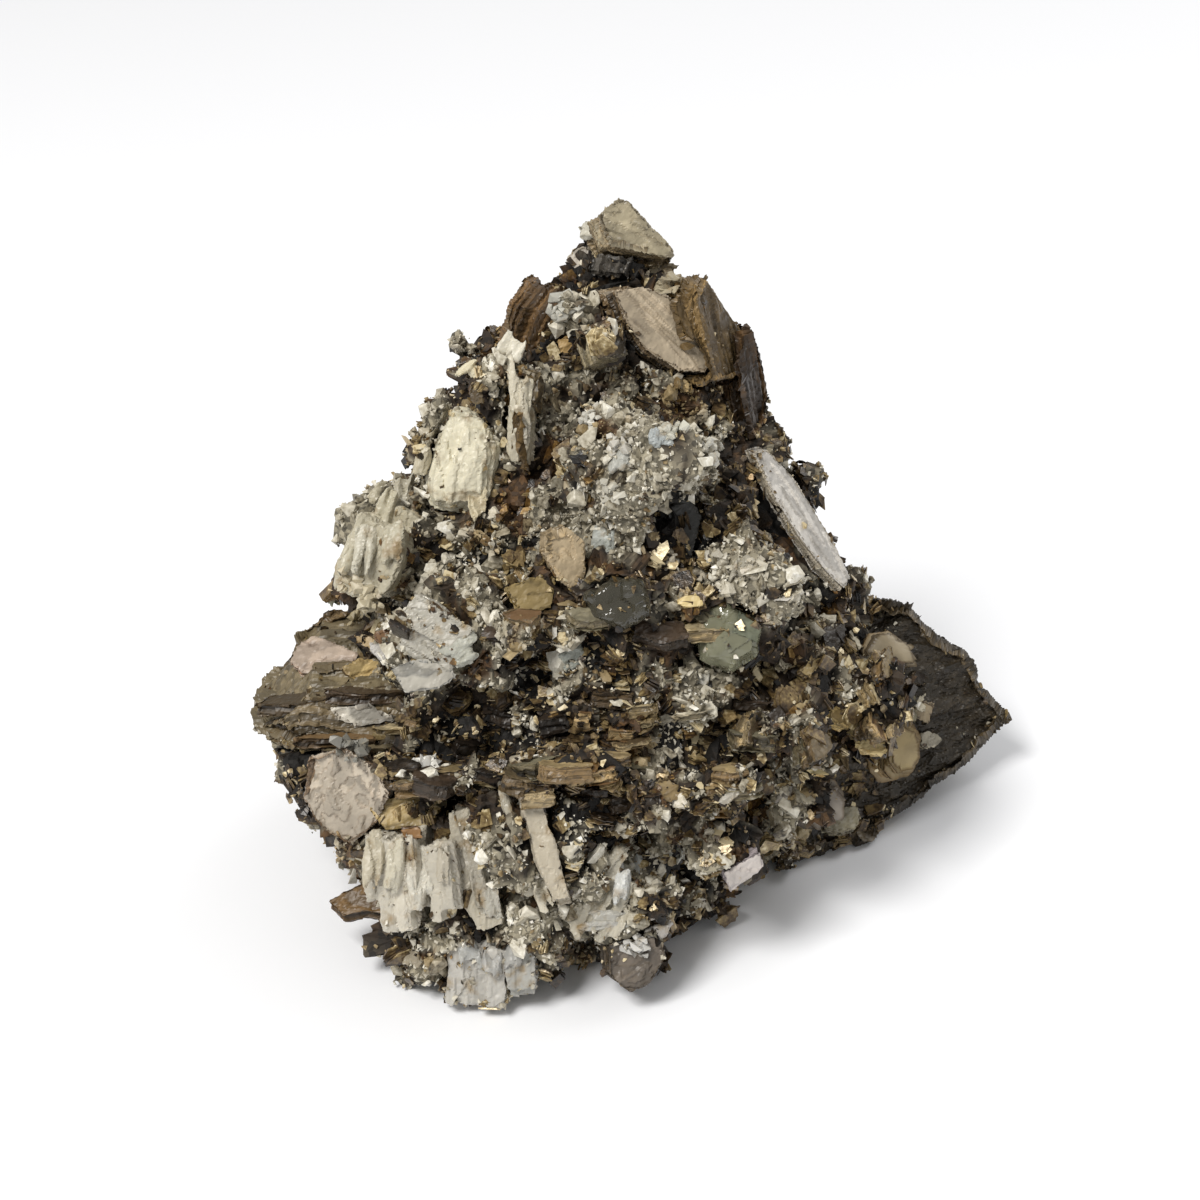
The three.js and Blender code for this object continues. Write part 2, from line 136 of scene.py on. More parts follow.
class RockSettings(bpy.types.PropertyGroup):
    """The rough matrix that everything has grown in."""

    voxel: length("Voxel", "Size of the cells that the matrix is remeshed with", 0.72)
    chunk: length("Chunks", "Width of the broken blocks on its surface", 5.0)
    chunk_relief: length("Chunk relief", "How far the blocks stand in or out", 1.7)
    crumb: length("Crumbs", "Width of the small crumbs on the blocks", 2.1)
    crumb_relief: length("Crumb relief", "How far the crumbs stand in or out", 0.8)
    ledge: length("Ledges", "Width of the large steps across the face", 11.0)
    ledge_relief: length("Ledge relief", "How far the large steps stand in or out", 2.1)
    brown: colour("Brown", "Iron-stained ground between the crystals", "2C2115")
    grey: colour("Grey", "Ground under the sugary feldspar", "8A8371")
    # Black is partly painted shade: near black in the deep hollows stands in for their shade, beside real
    # dark mica.
    black: colour("Black", "Deep hollows and dark mica ground", "0D0905")
    rust: colour("Rust", "Iron stain", "4C361E")


class ScatterSettings(bpy.types.PropertyGroup):
    """The small grains, flakes and booklets that cover the matrix."""

    sugar: per_area("Sugar grains", "White feldspar grains on a square centimetre", 74)
    dust: per_area("Sugar dust", "Fine white grains on a square centimetre", 85)
    crumbs: per_area("Crumbs", "Beige and brown grains on a square centimetre", 36)
    lumps: per_area("Lumps", "Coarse feldspar lumps on a square centimetre", 5)
    tablets: per_area("Tablets", "White tabular crystals on a square centimetre", 4)
    flakes: per_area("Flakes", "Single mica flakes on a square centimetre", 18)
    booklets: per_area("Booklets", "Small mica books on a square centimetre", 6.5)
    plates: per_area("Plates", "Larger loose mica books on a square centimetre", 0.7)
    crust: per_area("Crust", "Grains grown over the rims of the large crystals, on a square centimetre", 80)
    seed: IntProperty(name="Seed", description="Changes where every small piece lies", default=7, min=0)


class MicaSettings(bpy.types.PropertyGroup):
    """The books and plates of mica."""

    corners: IntProperty(name="Corners", description="Points round the rim of a sheet", default=72, min=12)
    voxel: length("Voxel", "Size of the cells that a rough book is remeshed with", 0.3)
    parted: amount("Parted", "Share of the pitch of two sheets that is open between them", 0.28)
    blotch: length("Blotches", "Width of the soft cloudy patches on a cleavage face", 3.2)
    striae: length("Striae", "Spacing of the fine lines on a book's edge", 0.16)


class FeldsparSettings(bpy.types.PropertyGroup):
    """The white blades and blocks of feldspar."""

    voxel: length("Voxel", "Size of the cells that a crystal is remeshed with", 0.3)
    step: length("Chips", "Width of the small chips on its faces", 1.5)
    relief: length("Chip relief", "How far the chips stand in or out", 0.2)


class QuartzSettings(bpy.types.PropertyGroup):
    """The glassy quartz grains."""

    chip: length("Chips", "Width of the curved chips on the glassy faces", 3.6)
    relief: length("Chip relief", "How far the chips stand in or out", 0.6)


class StageSettings(bpy.types.PropertyGroup):
    """The floor, the lights and the camera."""

    floor: colour("Floor", "Pale floor", "F3F5FA")
    sky: FloatProperty(name="Sky", description="Strength of the light from all round", default=0.44, min=0)
    key: FloatProperty(name="Key", description="Power of the large soft light, in watts", default=12.4, min=0)
    rim: FloatProperty(name="Rim", description="Power of the light behind, in watts", default=3.0, min=0)
    elevation: FloatProperty(
        name="Elevation", description="Height of the camera above the horizon",
        default=math.radians(30), subtype="ANGLE",
    )
    distance: length("Distance", "From the camera to the point that it looks at", 407)
    lens: FloatProperty(name="Lens", description="Focal length in millimetres", default=85, min=1)


SETTINGS = {
    "specimen_rock": RockSettings,
    "specimen_scatter": ScatterSettings,
    "specimen_mica": MicaSettings,
    "specimen_feldspar": FeldsparSettings,
    "specimen_quartz": QuartzSettings,
    "specimen_stage": StageSettings,
}


# Corners that have broken off: a place on the break in millimetres, and the way that it faces.
BROKEN = {
    "ledge_book": (
        ((-54.6, 6.2, 34.2), (-0.67, -0.06, 0.74)),
        ((-36.0, 7.0, 39.5), (0.0, 0.6, 0.8)),
        ((-40.0, -20.0, 31.6), (-0.05, -0.85, 0.52)),
    ),
}
# Breaks that run straight back as seen from the front: along each line, from the first point to the
# second, what lies to its left is gone. The points are across and up from the aim, in millimetres.
SEEN_BREAKS = {
    "wedge_blade": (((-24.4, 19.0), (-19.8, 27.0)), ((-19.6, 27.0), (-14.7, 21.0))),
    "shoulder_blade": (((-27.0, 3.0), (-37.0, 1.0)), ((-37.4, 3.0), (-34.0, 12.0))),
    "apex_book": (((5.2, 56.4), (10.8, 50.6)), ((10.8, 50.6), (10.9, 47.0))),
    "fan_book": (((11.6, 48.3), (15.6, 46.2)), ((15.6, 46.2), (20.0, 39.6)), ((20.0, 39.6), (21.0, 34.0))),
}


# ----------------------------------------------------------------------------------------------------
# Nodes, meshes and places


def add(tree, kind, inputs=None, stops=None, **settings):
    """Adds one node. Settings are its properties, inputs its sockets: a value or a socket to link from."""
    node = tree.nodes.new(kind)
    for key, value in settings.items():
        setattr(node, key, value)
    for key, value in (inputs or {}).items():
        if isinstance(value, bpy.types.NodeSocket):
            tree.links.new(value, node.inputs[key])
        else:
            node.inputs[key].default_value = value
    if stops:
        ramp = node.color_ramp
        while len(ramp.elements) < len(stops):
            ramp.elements.new(1.0)
        for element, (place, code) in zip(ramp.elements, stops):
            element.position = place
            element.color = (*linear(code), 1)
    return node


def mesh_object(name, points, faces):
    """A new object at the origin from a list of points, in metres, and faces."""
    mesh = bpy.data.meshes.new(name)
    mesh.from_pydata([tuple(p) for p in points], [], [tuple(int(i) for i in f) for f in faces])
    mesh.update()
    thing = bpy.data.objects.new(name, mesh)
    bpy.context.scene.collection.objects.link(thing)
    return thing


def merged(node):
    """The points and faces of a CAD node, with its doubles merged and its faces pointing out."""
    bm = bmesh.new()
    bm.from_mesh(frame["nodes"][node].data)
    bmesh.ops.remove_doubles(bm, verts=bm.verts, dist=1e-6)
    bmesh.ops.recalc_face_normals(bm, faces=bm.faces)
    points = [v.co.copy() for v in bm.verts]
    faces = [[v.index for v in f.verts] for f in bm.faces]
    bm.free()
    return points, faces


def places(mesh):
    """The mesh's points as an array."""
    flat = np.empty(len(mesh.vertices) * 3)
    mesh.vertices.foreach_get("co", flat)
    return flat.reshape(-1, 3)


def directions(mesh):
    """The mesh's point normals as an array."""
    flat = np.empty(len(mesh.vertices) * 3, np.float32)
    mesh.vertex_normals.foreach_get("vector", flat)
    return flat.reshape(-1, 3).astype(float)


def move_points(mesh, points):
    """Gives the mesh's points new places."""
    mesh.vertices.foreach_set("co", np.ascontiguousarray(points, np.float32).ravel())
    mesh.update()


def store(mesh, name, values):
    """Stores one number, or one colour or direction of three numbers, at each point of the mesh."""
    values = np.asarray(values, np.float32)
    if values.ndim == 1:
        mesh.attributes.new(name, "FLOAT", "POINT").data.foreach_set("value", values)
    else:
        mesh.attributes.new(name, "FLOAT_VECTOR", "POINT").data.foreach_set("vector", values.ravel())


def applied(thing):
    """Bakes the object's modifiers into a plain mesh and removes them."""
    mesh = bpy.data.meshes.new_from_object(thing.evaluated_get(bpy.context.evaluated_depsgraph_get()))
    old = thing.data
    thing.modifiers.clear()
    thing.data = mesh
    bpy.data.meshes.remove(old)
    mesh.name = thing.name
    return mesh


def trimmed(points, faces, cuts):
    """The closed shape less what lies beyond each plane, which is a place in millimetres and a direction."""
    bm = bmesh.new()
    corners = [bm.verts.new(p) for p in points]
    for f in faces:
        bm.faces.new([corners[i] for i in f])
    for place, beyond in cuts:
        cut = bmesh.ops.bisect_plane(
            bm, geom=bm.verts[:] + bm.edges[:] + bm.faces[:],
            plane_co=Vector(place) * MM, plane_no=Vector(beyond),
            clear_outer=True,
        )
        rim = [e for e in cut["geom_cut"] if isinstance(e, bmesh.types.BMEdge)]
        bmesh.ops.triangle_fill(bm, edges=rim, use_beauty=True)
    bm.verts.index_update()
    points, faces = [v.co.copy() for v in bm.verts], [[v.index for v in f.verts] for f in bm.faces]
    bm.free()
    return points, faces


def remeshed(name, node, voxel):
    """A copy of a CAD node, with its corners broken off, as a fine even mesh."""
    cuts = [sight_cut(*ends) for ends in SEEN_BREAKS.get(node, ())]
    thing = mesh_object(name, *trimmed(*merged(node), (*BROKEN.get(node, ()), *cuts)))
    thing.modifiers.new("even", "REMESH").voxel_size = voxel
    applied(thing)
    return thing


def finished(thing, material, slot, *nodes):
    """Gives a piece its material and declares which CAD nodes it stands for; its slot, what it is made of, is
    not used.
    """
    points = places(thing.data)
    points[:, 2] = np.maximum(points[:, 2], 0.02 * MM)
    move_points(thing.data, points)
    thing.data.materials.clear()
    thing.data.materials.append(material)
    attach(thing, "root")
    if nodes:
        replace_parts(thing, *nodes)


def joined(name, things):
    """Joins several objects into one of that name."""
    with bpy.context.temp_override(active_object=things[0], selected_editable_objects=things):
        bpy.ops.object.join()
    things[0].name = things[0].data.name = name
    return things[0]


def smooth(values, low, high):
    """Rises smoothly from 0 at low to 1 at high."""
    t = np.clip((np.asarray(values, float) - low) / (high - low), 0, 1)
    return t * t * (3 - 2 * t)


def cloud(points, size, shift=0.0, octaves=3):
    """Soft noise from about -1 to 1 at each point, with patches of that size."""
    offset = Vector((shift, shift * 1.7, -shift * 0.6))
    return np.array([noise.fractal(Vector(p) / size + offset, 1.0, 2.0, octaves) for p in points])


def blocks(points, size, shift=0.0, stretch=None):
    """For each point, three random numbers from -1 to 1, the same all over an angular cell of that size."""
    offset = Vector((shift, -shift * 0.8, shift * 1.3))
    found = []
    for p in points:
        q = Vector(p) / size
        if stretch is not None:
            q -= stretch[0] * q.dot(stretch[0]) * stretch[1]
        centre = noise.voronoi(q + offset)[1][0]
        found.append(noise.cell_vector(centre * 83.1))
    return np.array(found) * 2 - 1


def camera_axes():
    """The camera's place, and its directions to the right, up and towards the specimen."""
    stage = bpy.context.scene.specimen_stage
    back = Vector((0, -math.cos(stage.elevation), math.sin(stage.elevation)))
    right = Vector((1, 0, 0))
    return AIM + back * stage.distance, right, right.cross(-back), -back


def sight_cut(first, second):
    """The plane of everything seen on the line between two places on the front, facing to the left of it."""
    eye, right, top, _ = camera_axes()
    a, b = (AIM + (right * across + top * up) * MM - eye for across, up in (first, second))
    return eye / MM, b.cross(a).normalized()


@functools.lru_cache(maxsize=None)
def surface(name):
    """The surface of the named object, or of all the large pieces, for nearest points and cast lines."""
    everything = [o for o in bpy.data.objects if o.get("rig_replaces")]
    points, faces = [], []
    for thing in everything if name == "front" else [bpy.data.objects[name]]:
        faces += [[i + len(points) for i in f.vertices] for f in thing.data.polygons]
        points += places(thing.data).tolist()
    return BVHTree.FromPolygons(points, faces)


def on_face(name, across, up):
    """The point and normal on the object's front, that many millimetres right of the aim and above it."""
    eye, right, top, _ = camera_axes()
    through = AIM + (right * across + top * up) * MM
    point, normal, _, _ = surface(name).ray_cast(eye, (through - eye).normalized())
    if point is None:
        point, normal, _, _ = surface(name).find_nearest(through)
    return point, normal


# ----------------------------------------------------------------------------------------------------
# Zones of the matrix

# How much white sugar, mica flakes, black mica and iron stain a zone has, from 0 to 1; the black mica share
# also paints shade into the hollows.
Mix = namedtuple("Mix", "sugar flaky dark stain")
ZONE_KINDS = {
    "sugar": Mix(0.95, 0.15, 0.12, 0.1),
    "mixed": Mix(0.55, 0.55, 0.3, 0.25),
    "flaky": Mix(0.3, 0.9, 0.38, 0.2),
    "gold": Mix(0.25, 1.0, 0.1, 0.3),
    "dark": Mix(0.1, 0.6, 1.1, 0.0),
    "rust": Mix(0.35, 0.5, 0.1, 1.0),
}

# Runs of zones of one kind, each later zone laid over the ones before it: its place across and up from
# the aim, and its half width and half height, in millimetres.
ZONES = (
    ("flaky", ((2, 6, 55, 60),)),
    ("mixed", ((-20, 6, 20, 20),)),
    ("flaky", (
        (34, -18, 20, 14), (-3, -22, 34, 9),
    )),
    ("sugar", (
        (0, 24, 11, 5.5), (13, 22, 7, 5), (-6, 29, 4, 6), (6, 16, 9, 7), (0, 10, 7, 5), (-14, 33, 4, 6),
        (-4, 41, 3.5, 3), (-32, 12, 6, 7),
    )),
    ("mixed", ((-22, 3, 9, 6),)),
    ("sugar", (
        (-18, -7, 8, 6), (-28, 4, 6, 4), (14, -12, 6, 4), (34, -12, 3, 2), (-19, -52, 8, 6),
        (-28, -41, 8, 7), (-11, -42, 6, 9), (9, -37, 5, 5), (0, -42, 6, 7), (-24, -26, 4, 4),
        (21, 4, 6, 4), (27, 0, 4, 2), (20, -39, 5, 3),
    )),
    ("mixed", (
        (-10, -31, 8, 6), (28, -29, 7, 6),
    )),
    ("gold", (
        (39, -21, 5, 6), (32, -25, 4, 3), (-8, 0, 5, 4), (-34, -10, 4, 3), (-4, 37, 3, 4),
        (-27, -31, 5, 3), (36, -14, 6, 5), (14, 0, 3, 3), (8, -26, 8, 4),
    )),
    # Dark zones: black mica, sunk into hollows and painted near black, which is in part painted shade.
    ("dark", (
        (-42, -22, 5, 4), (-28, -6, 2, 2), (-15, 5, 3, 2.5), (-11, -10, 4, 4), (12, 10, 4, 7),
        (14, -38, 7, 5), (-17, -18, 9, 3), (3, 47, 5, 3), (-2, -29, 8, 3), (-36, -22, 4, 3),
        (22, -33, 7, 3),
    )),
    ("rust", (
        (-6, 20, 4, 4), (12, 28, 4, 3.5), (27, 7, 3, 2.5), (-27, -34, 2.5, 2), (-18, -10, 3, 2.5),
        (5, -20, 4, 3), (-12, 14, 2.5, 6),
    )),
)

# The way that the flakes' faces look in a region: its place across and up, its radius in millimetres, and
# the direction.
FABRIC = (
    (0, -24, 26, (0.05, 0.12, 1.0)),
    (38, -16, 16, (0.7, -0.2, 0.7)),
    (10, 40, 16, (0.85, -0.45, 0.25)),
    (-20, -40, 16, (0.75, -0.65, 0.1)),
    (-10, 38, 9, (0.9, -0.3, 0.0)),
)
FRONT = (0.0, -0.87, 0.5)
# Rock that lies nearer than this to a large crystal carries no grains.
COVER = 0.62 * MM
# How far from the rock its crust still grows on a large crystal.
CRUST_REACH = 2.3 * MM
# How thickly the large rough crystals are strewn with grains and flakes, from 0 to 1.
STREWN = {
    "ledge_book_sheets": 0.22,
    "dark_slab_sheets": 0.1,
    "fan_book_sheets": 0.05,
    "toe_book_sheets": 0.3,
    "heel_block_crystal": 0.7,
    "small_heel_block_crystal": 0.7,
    "waist_slab_crystal": 0.75,
    "shoulder_blade_crystal": 0.35,
    "ribbed_block_crystal": 0.35,
    "elbow_blade_crystal": 0.35,
    "left_long_blade_crystal": 0.2,
    "middle_long_blade_crystal": 0.2,
    "wedge_blade_crystal": 0.25,
    "green_quartz_glass": 0.4,
    "smoky_quartz_glass": 0.3,
}
# The part of the dark slab that the rock has grown over: as far across as this, in millimetres.
OVERGROWN = 41.0


def zone_shares(name, points):
    """How much of each mineral each point has: soft regions broken up into a crisp patchwork of clumps."""
    ragged = cloud(points, 3.5 * MM, 5.0) * 0.45 + cloud(points, 1.4 * MM, 9.0, 2) * 0.25
    broad = cloud(points, 17 * MM, 2.0, 2)
    amounts = {
        "sugar": 0.42 + broad * 0.45,
        "flaky": 0.6 - broad * 0.3,
        "dark": 0.22 + cloud(points, 12 * MM, 51.0, 2) * 0.25,
        "stain": 0.16 + cloud(points, 9 * MM, 31.0, 2) * 0.3,
    }
    _, right, top, ahead = camera_axes()
    for kind, across, up, wide, high in [(kind, *zone) for kind, run in ZONES for zone in run]:
        centre, _ = on_face(name, across, up)
        away = points - np.array(centre)
        depth = max(wide, high)
        gone = np.sqrt(
            (away @ np.array(right) / (wide * MM)) ** 2
            + (away @ np.array(top) / (high * MM)) ** 2
            + (away @ np.array(ahead) / (depth * MM)) ** 2
        )
        weight = 1 - smooth(gone + ragged, 0.75, 1.15)
        for share, target in ZONE_KINDS[kind]._asdict().items():
            amounts[share] = amounts[share] * (1 - weight) + target * weight
    clumps = {
        "sugar": cloud(points, 5.5 * MM, 61.0, 3) * 0.8 + ragged * 0.5,
        "dark": cloud(points, 4.5 * MM, 71.0, 3) * 0.8 + ragged * 0.3,
        "stain": cloud(points, 4.0 * MM, 81.0, 3) * 0.8 + ragged * 0.3,
        "flaky": cloud(points, 4.0 * MM, 91.0, 2) * 0.6,
    }
    return {key: smooth(amounts[key] - 0.5 + clumps[key], -0.12, 0.12) for key in amounts}


def fabric_directions(name, points, normals):
    """The way that flat crystals face at each point."""
    total = normals * 0.8
    for across, up, reach, direction in FABRIC:
        centre, _ = on_face(name, across, up)
        gone = np.linalg.norm(points - np.array(centre), axis=1) / (reach * MM)
        total = total + np.outer((1 - smooth(gone, 0.5, 1.2)) * 3, Vector(direction).normalized())
    return total / np.linalg.norm(total, axis=1, keepdims=True)


def crystals_surface():
    """The surface of every CAD node but the matrix."""
    points, faces = [], []
    for node in sorted(frame["nodes"]):
        if node != "matrix":
            own, polygons = merged(node)
            faces += [[i + len(points) for i in f] for f in polygons]
            points += own
    return BVHTree.FromPolygons(points, faces)


def build_rock():
    """The matrix as an even mesh, broken into blocks and crumbs, with its zones stored at its points."""
    settings = bpy.context.scene.specimen_rock
    rock = remeshed("rock", "matrix", settings.voxel)
    mesh = rock.data
    points, normals = places(mesh), directions(mesh)
    crystals = crystals_surface()
    gaps = np.array([crystals.find_nearest(p)[3] for p in points.tolist()])
    open_air = smooth(gaps, COVER * 0.8, COVER * 2.2)
    shares = zone_shares("rock", points)
    fabric = fabric_directions("rock", points, normals)
    chunk = blocks(points, settings.chunk, 1.0)
    crumb = blocks(points, settings.crumb, 4.0)
    grit = cloud(points, 1.1 * MM, 6.0, 2)
    ledge = blocks(points, settings.ledge, 14.0, (Vector((1, 0, 0)), 0.5))
    along = chunk[:, 0] * settings.chunk_relief + crumb[:, 0] * settings.crumb_relief
    along += ledge[:, 0] * settings.ledge_relief + grit * 0.3 * MM
    sideways = np.stack([chunk[:, 1], chunk[:, 2], crumb[:, 1]], axis=1) * 0.35 * settings.chunk_relief
    off_ground = smooth(points[:, 2], 0.3 * MM, 3.0 * MM)
    strength = (0.2 + 0.8 * open_air) * off_ground
    along -= shares["dark"] * 1.6 * MM - shares["sugar"] * 0.5 * MM
    moved = points + normals * (along * strength)[:, None] + sideways * strength[:, None]
    moved[:, 2] = np.maximum(moved[:, 2], 0)
    move_points(mesh, moved)
    bare = smooth(gaps, COVER, COVER * 1.6) * smooth(moved[:, 2], 0.5 * MM, 1.2 * MM)
    # The crystallised face is richer in small crystals than the broken back.
    bare *= 0.34 + 1.06 * smooth(normals @ np.array(FRONT), -0.3, 0.4)
    for share in ("sugar", "dark", "stain"):
        store(mesh, share, shares[share])
    store(mesh, "sugar_room", shares["sugar"] ** 1.4 * bare)
    store(mesh, "crumb_room", (1 - shares["sugar"] * 0.7) * (1 - shares["dark"] * 0.6) * bare)
    store(mesh, "flaky_room", shares["flaky"] * bare)
    store(mesh, "fabric", fabric)
    mesh.shade_flat()
    finished(rock, matrix_material(), "matrix", "matrix")


# ----------------------------------------------------------------------------------------------------
# Small pieces, spread by Geometry Nodes


def hull(count, box, seed, roundness=0.5):
    """The points and faces of an angular grain: the hull of a few random points in a box of that size."""
    draw = random.Random(seed)
    bm = bmesh.new()
    for _ in range(count):
        p = Vector([draw.uniform(-1, 1) for _ in range(3)])
        p = p.lerp(p.normalized(), roundness)
        bm.verts.new([p[i] * box[i] / 2 for i in range(3)])
    made = bmesh.ops.convex_hull(bm, input=bm.verts)
    inside = list({v for v in made["geom_interior"] if isinstance(v, bmesh.types.BMVert)})
    bmesh.ops.delete(bm, geom=inside, context="VERTS")
    bmesh.ops.recalc_face_normals(bm, faces=bm.faces)
    bm.verts.index_update()
    points = [v.co.copy() for v in bm.verts]
    faces = [[v.index for v in f.verts] for f in bm.faces]
    bm.free()
    return points, faces


def ragged_prism(corners, radius, low, high, draw):
    """The points and faces of one thin angular sheet, from low to high along Z."""
    turn = draw.uniform(0, math.tau)
    squeeze = draw.uniform(0.6, 1.0)
    rim = []
    for i in range(corners):
        angle = turn + math.tau * (i + draw.uniform(-0.3, 0.3)) / corners
        reach = radius * draw.uniform(0.65, 1.1)
        rim.append((math.cos(angle) * reach, math.sin(angle) * reach * squeeze))
    tilt = draw.uniform(-0.08, 0.08), draw.uniform(-0.08, 0.08)
    points = [(x, y, z + x * tilt[0] + y * tilt[1]) for z in (low, high) for x, y in rim]
    faces = [list(range(corners))[::-1], list(range(corners, corners * 2))]
    faces += [[i, (i + 1) % corners, (i + 1) % corners + corners, i + corners] for i in range(corners)]
    return points, faces


def booklet(sheets, thick, seed, corners=6):
    """A small book one unit wide: a few thin angular sheets, each with an outline and a tone of its own."""
    draw = random.Random(seed)
    points, faces, tones = [], [], []
    pitch = thick / sheets
    shift = Vector((0, 0))
    for i in range(sheets):
        low = -thick / 2 + i * pitch
        own, polygons = ragged_prism(corners, 0.5, low, low + pitch * draw.uniform(0.55, 0.9), draw)
        shift += Vector((draw.uniform(-1, 1), draw.uniform(-1, 1))) * 0.05
        faces += [[k + len(points) for k in f] for f in polygons]
        points += [(x + shift.x, y + shift.y, z) for x, y, z in own]
        tones += [draw.random()] * len(own)
    return points, faces, tones


def kit(name):
    """A collection of small shapes for the scatter to pick from."""
    collection = bpy.data.collections.new(name)
    bpy.context.scene.collection.children.link(collection)
    count, shape = KITS[name]
    for i in range(count):
        points, faces, *tones = shape(i)
        piece = mesh_object(f"{name}_{i}", points, faces)
        store(piece.data, "sheet", tones[0] if tones else [0.5] * len(points))
        bpy.context.scene.collection.objects.unlink(piece)
        collection.objects.link(piece)
    return collection


# The kits of small shapes: how many shapes each has, and the shape for each number.
KITS = {
    "dust": (6, lambda i: hull(6, (1, 0.9, 0.9), 20 + i, 0.6)),
    "grain": (9, lambda i: hull(8, (1, random.Random(i).uniform(0.7, 1), 0.85), i)),
    "lump": (6, lambda i: hull(16, (1, 0.85, 0.8), 40 + i, 0.35)),
    "tablet": (6, lambda i: hull(14, (1, 0.55, 0.22), 60 + i, 0.0)),
    "flake": (8, lambda i: booklet(1, 0.07, 80 + i, 5 + i % 3)),
    "booklet": (7, lambda i: booklet(5, 0.3 + 0.06 * i, 100 + i, 4)),
    "plate": (6, lambda i: booklet(6, 0.22 + 0.05 * i, 130 + i, 7)),
}

SCATTER_INPUTS = {
    "Geometry": "Geometry",
    "Pieces": "Collection",
    "Room": "String",
    "Density": "Float",
    "Smallest": "Float",
    "Largest": "Float",
    "Skew": "Float",
    "Sunk": "Float",
    "Proud": "Float",
    "Disorder": "Float",
    "Seed": "Int",
    "Material": "Material",
}


@functools.lru_cache(maxsize=None)
def scatter_tree():
    """Spreads a kit over a surface: each piece turned to the fabric, some astray, sized, sunk and toned."""
    tree = bpy.data.node_groups.new("scatter", "GeometryNodeTree")
    for name, kind in SCATTER_INPUTS.items():
        tree.interface.new_socket(name, in_out="INPUT", socket_type=f"NodeSocket{kind}")
    tree.interface.new_socket("Geometry", in_out="OUTPUT", socket_type="NodeSocketGeometry")
    node = functools.partial(add, tree)
    vector = functools.partial(node, "ShaderNodeVectorMath")
    draw = functools.partial(node, "FunctionNodeRandomValue")
    given = node("NodeGroupInput").outputs
    later = functools.partial(node, "ShaderNodeMath", operation="ADD")
    seeds = [later({0: given["Seed"], 1: 100.0 + i}).outputs[0] for i in range(6)]

    room = node("GeometryNodeInputNamedAttribute", {"Name": given["Room"]}, data_type="FLOAT")
    crowd = node("ShaderNodeMath", {0: room.outputs["Attribute"], 1: given["Density"]}, operation="MULTIPLY")
    inputs = {"Mesh": given["Geometry"], "Density": crowd.outputs[0], "Seed": given["Seed"]}
    spread = node("GeometryNodeDistributePointsOnFaces", inputs, distribute_method="RANDOM")
    heights = draw({2: given["Sunk"], 3: given["Proud"], "Seed": given["Seed"]}, data_type="FLOAT")
    offset = vector({0: spread.outputs["Normal"], "Scale": heights.outputs[1]}, operation="SCALE")
    inputs = {"Geometry": spread.outputs["Points"], "Offset": offset.outputs[0]}
    lifted = node("GeometryNodeSetPosition", inputs)

    fabric = node("GeometryNodeInputNamedAttribute", {"Name": "fabric"}, data_type="FLOAT_VECTOR")
    stray = draw({0: (-1, -1, -1), 1: (1, 1, 1), "Seed": seeds[0]}, data_type="FLOAT_VECTOR")
    astray = vector({0: stray.outputs[0], "Scale": given["Disorder"]}, operation="SCALE")
    facing = vector({0: fabric.outputs["Attribute"], 1: astray.outputs[0]}, operation="ADD")
    leaning = node("FunctionNodeAlignRotationToVector", {"Vector": facing.outputs[0]}, axis="Z")
    spin = draw({2: 0.0, 3: math.tau, "Seed": seeds[1]}, data_type="FLOAT")
    spun = node("FunctionNodeAxisAngleToRotation", {"Axis": (0, 0, 1), "Angle": spin.outputs[1]})
    inputs = {"Rotation": leaning.outputs[0], "Rotate By": spun.outputs[0]}
    turned = node("FunctionNodeRotateRotation", inputs, rotation_space="LOCAL")

    chance = draw({2: 0.0, 3: 1.0, "Seed": seeds[2]}, data_type="FLOAT")
    skewed = node("ShaderNodeMath", {0: chance.outputs[1], 1: given["Skew"]}, operation="POWER")
    inputs = {"Value": skewed.outputs[0], "To Min": given["Smallest"], "To Max": given["Largest"]}
    size = node("ShaderNodeMapRange", inputs)
    uneven = draw({0: (0.75,) * 3, 1: (1.2,) * 3, "Seed": seeds[3]}, data_type="FLOAT_VECTOR")
    sizes = vector({0: uneven.outputs[0], "Scale": size.outputs[0]}, operation="SCALE")

    inputs = {"Collection": given["Pieces"], "Separate Children": True, "Reset Children": True}
    pieces = node("GeometryNodeCollectionInfo", inputs)
    pick = draw({4: 0, 5: 99, "Seed": seeds[4]}, data_type="INT")
    inputs = {
        "Points": lifted.outputs[0],
        "Instance": pieces.outputs[0],
        "Pick Instance": True,
        "Instance Index": pick.outputs[2],
        "Rotation": turned.outputs[0],
        "Scale": sizes.outputs[0],
    }
    placed = node("GeometryNodeInstanceOnPoints", inputs)
    tone = draw({2: 0.0, 3: 1.0, "Seed": seeds[5]}, data_type="FLOAT")
    inputs = {"Geometry": placed.outputs[0], "Name": "tone", "Value": tone.outputs[1]}
    toned = node("GeometryNodeStoreNamedAttribute", inputs, data_type="FLOAT", domain="INSTANCE")
    real = node("GeometryNodeRealizeInstances", {"Geometry": toned.outputs[0]})
    done = node("GeometryNodeSetMaterial", {"Geometry": real.outputs[0], "Material": given["Material"]})
    node("NodeGroupOutput", {"Geometry": done.outputs[0]})
    return tree


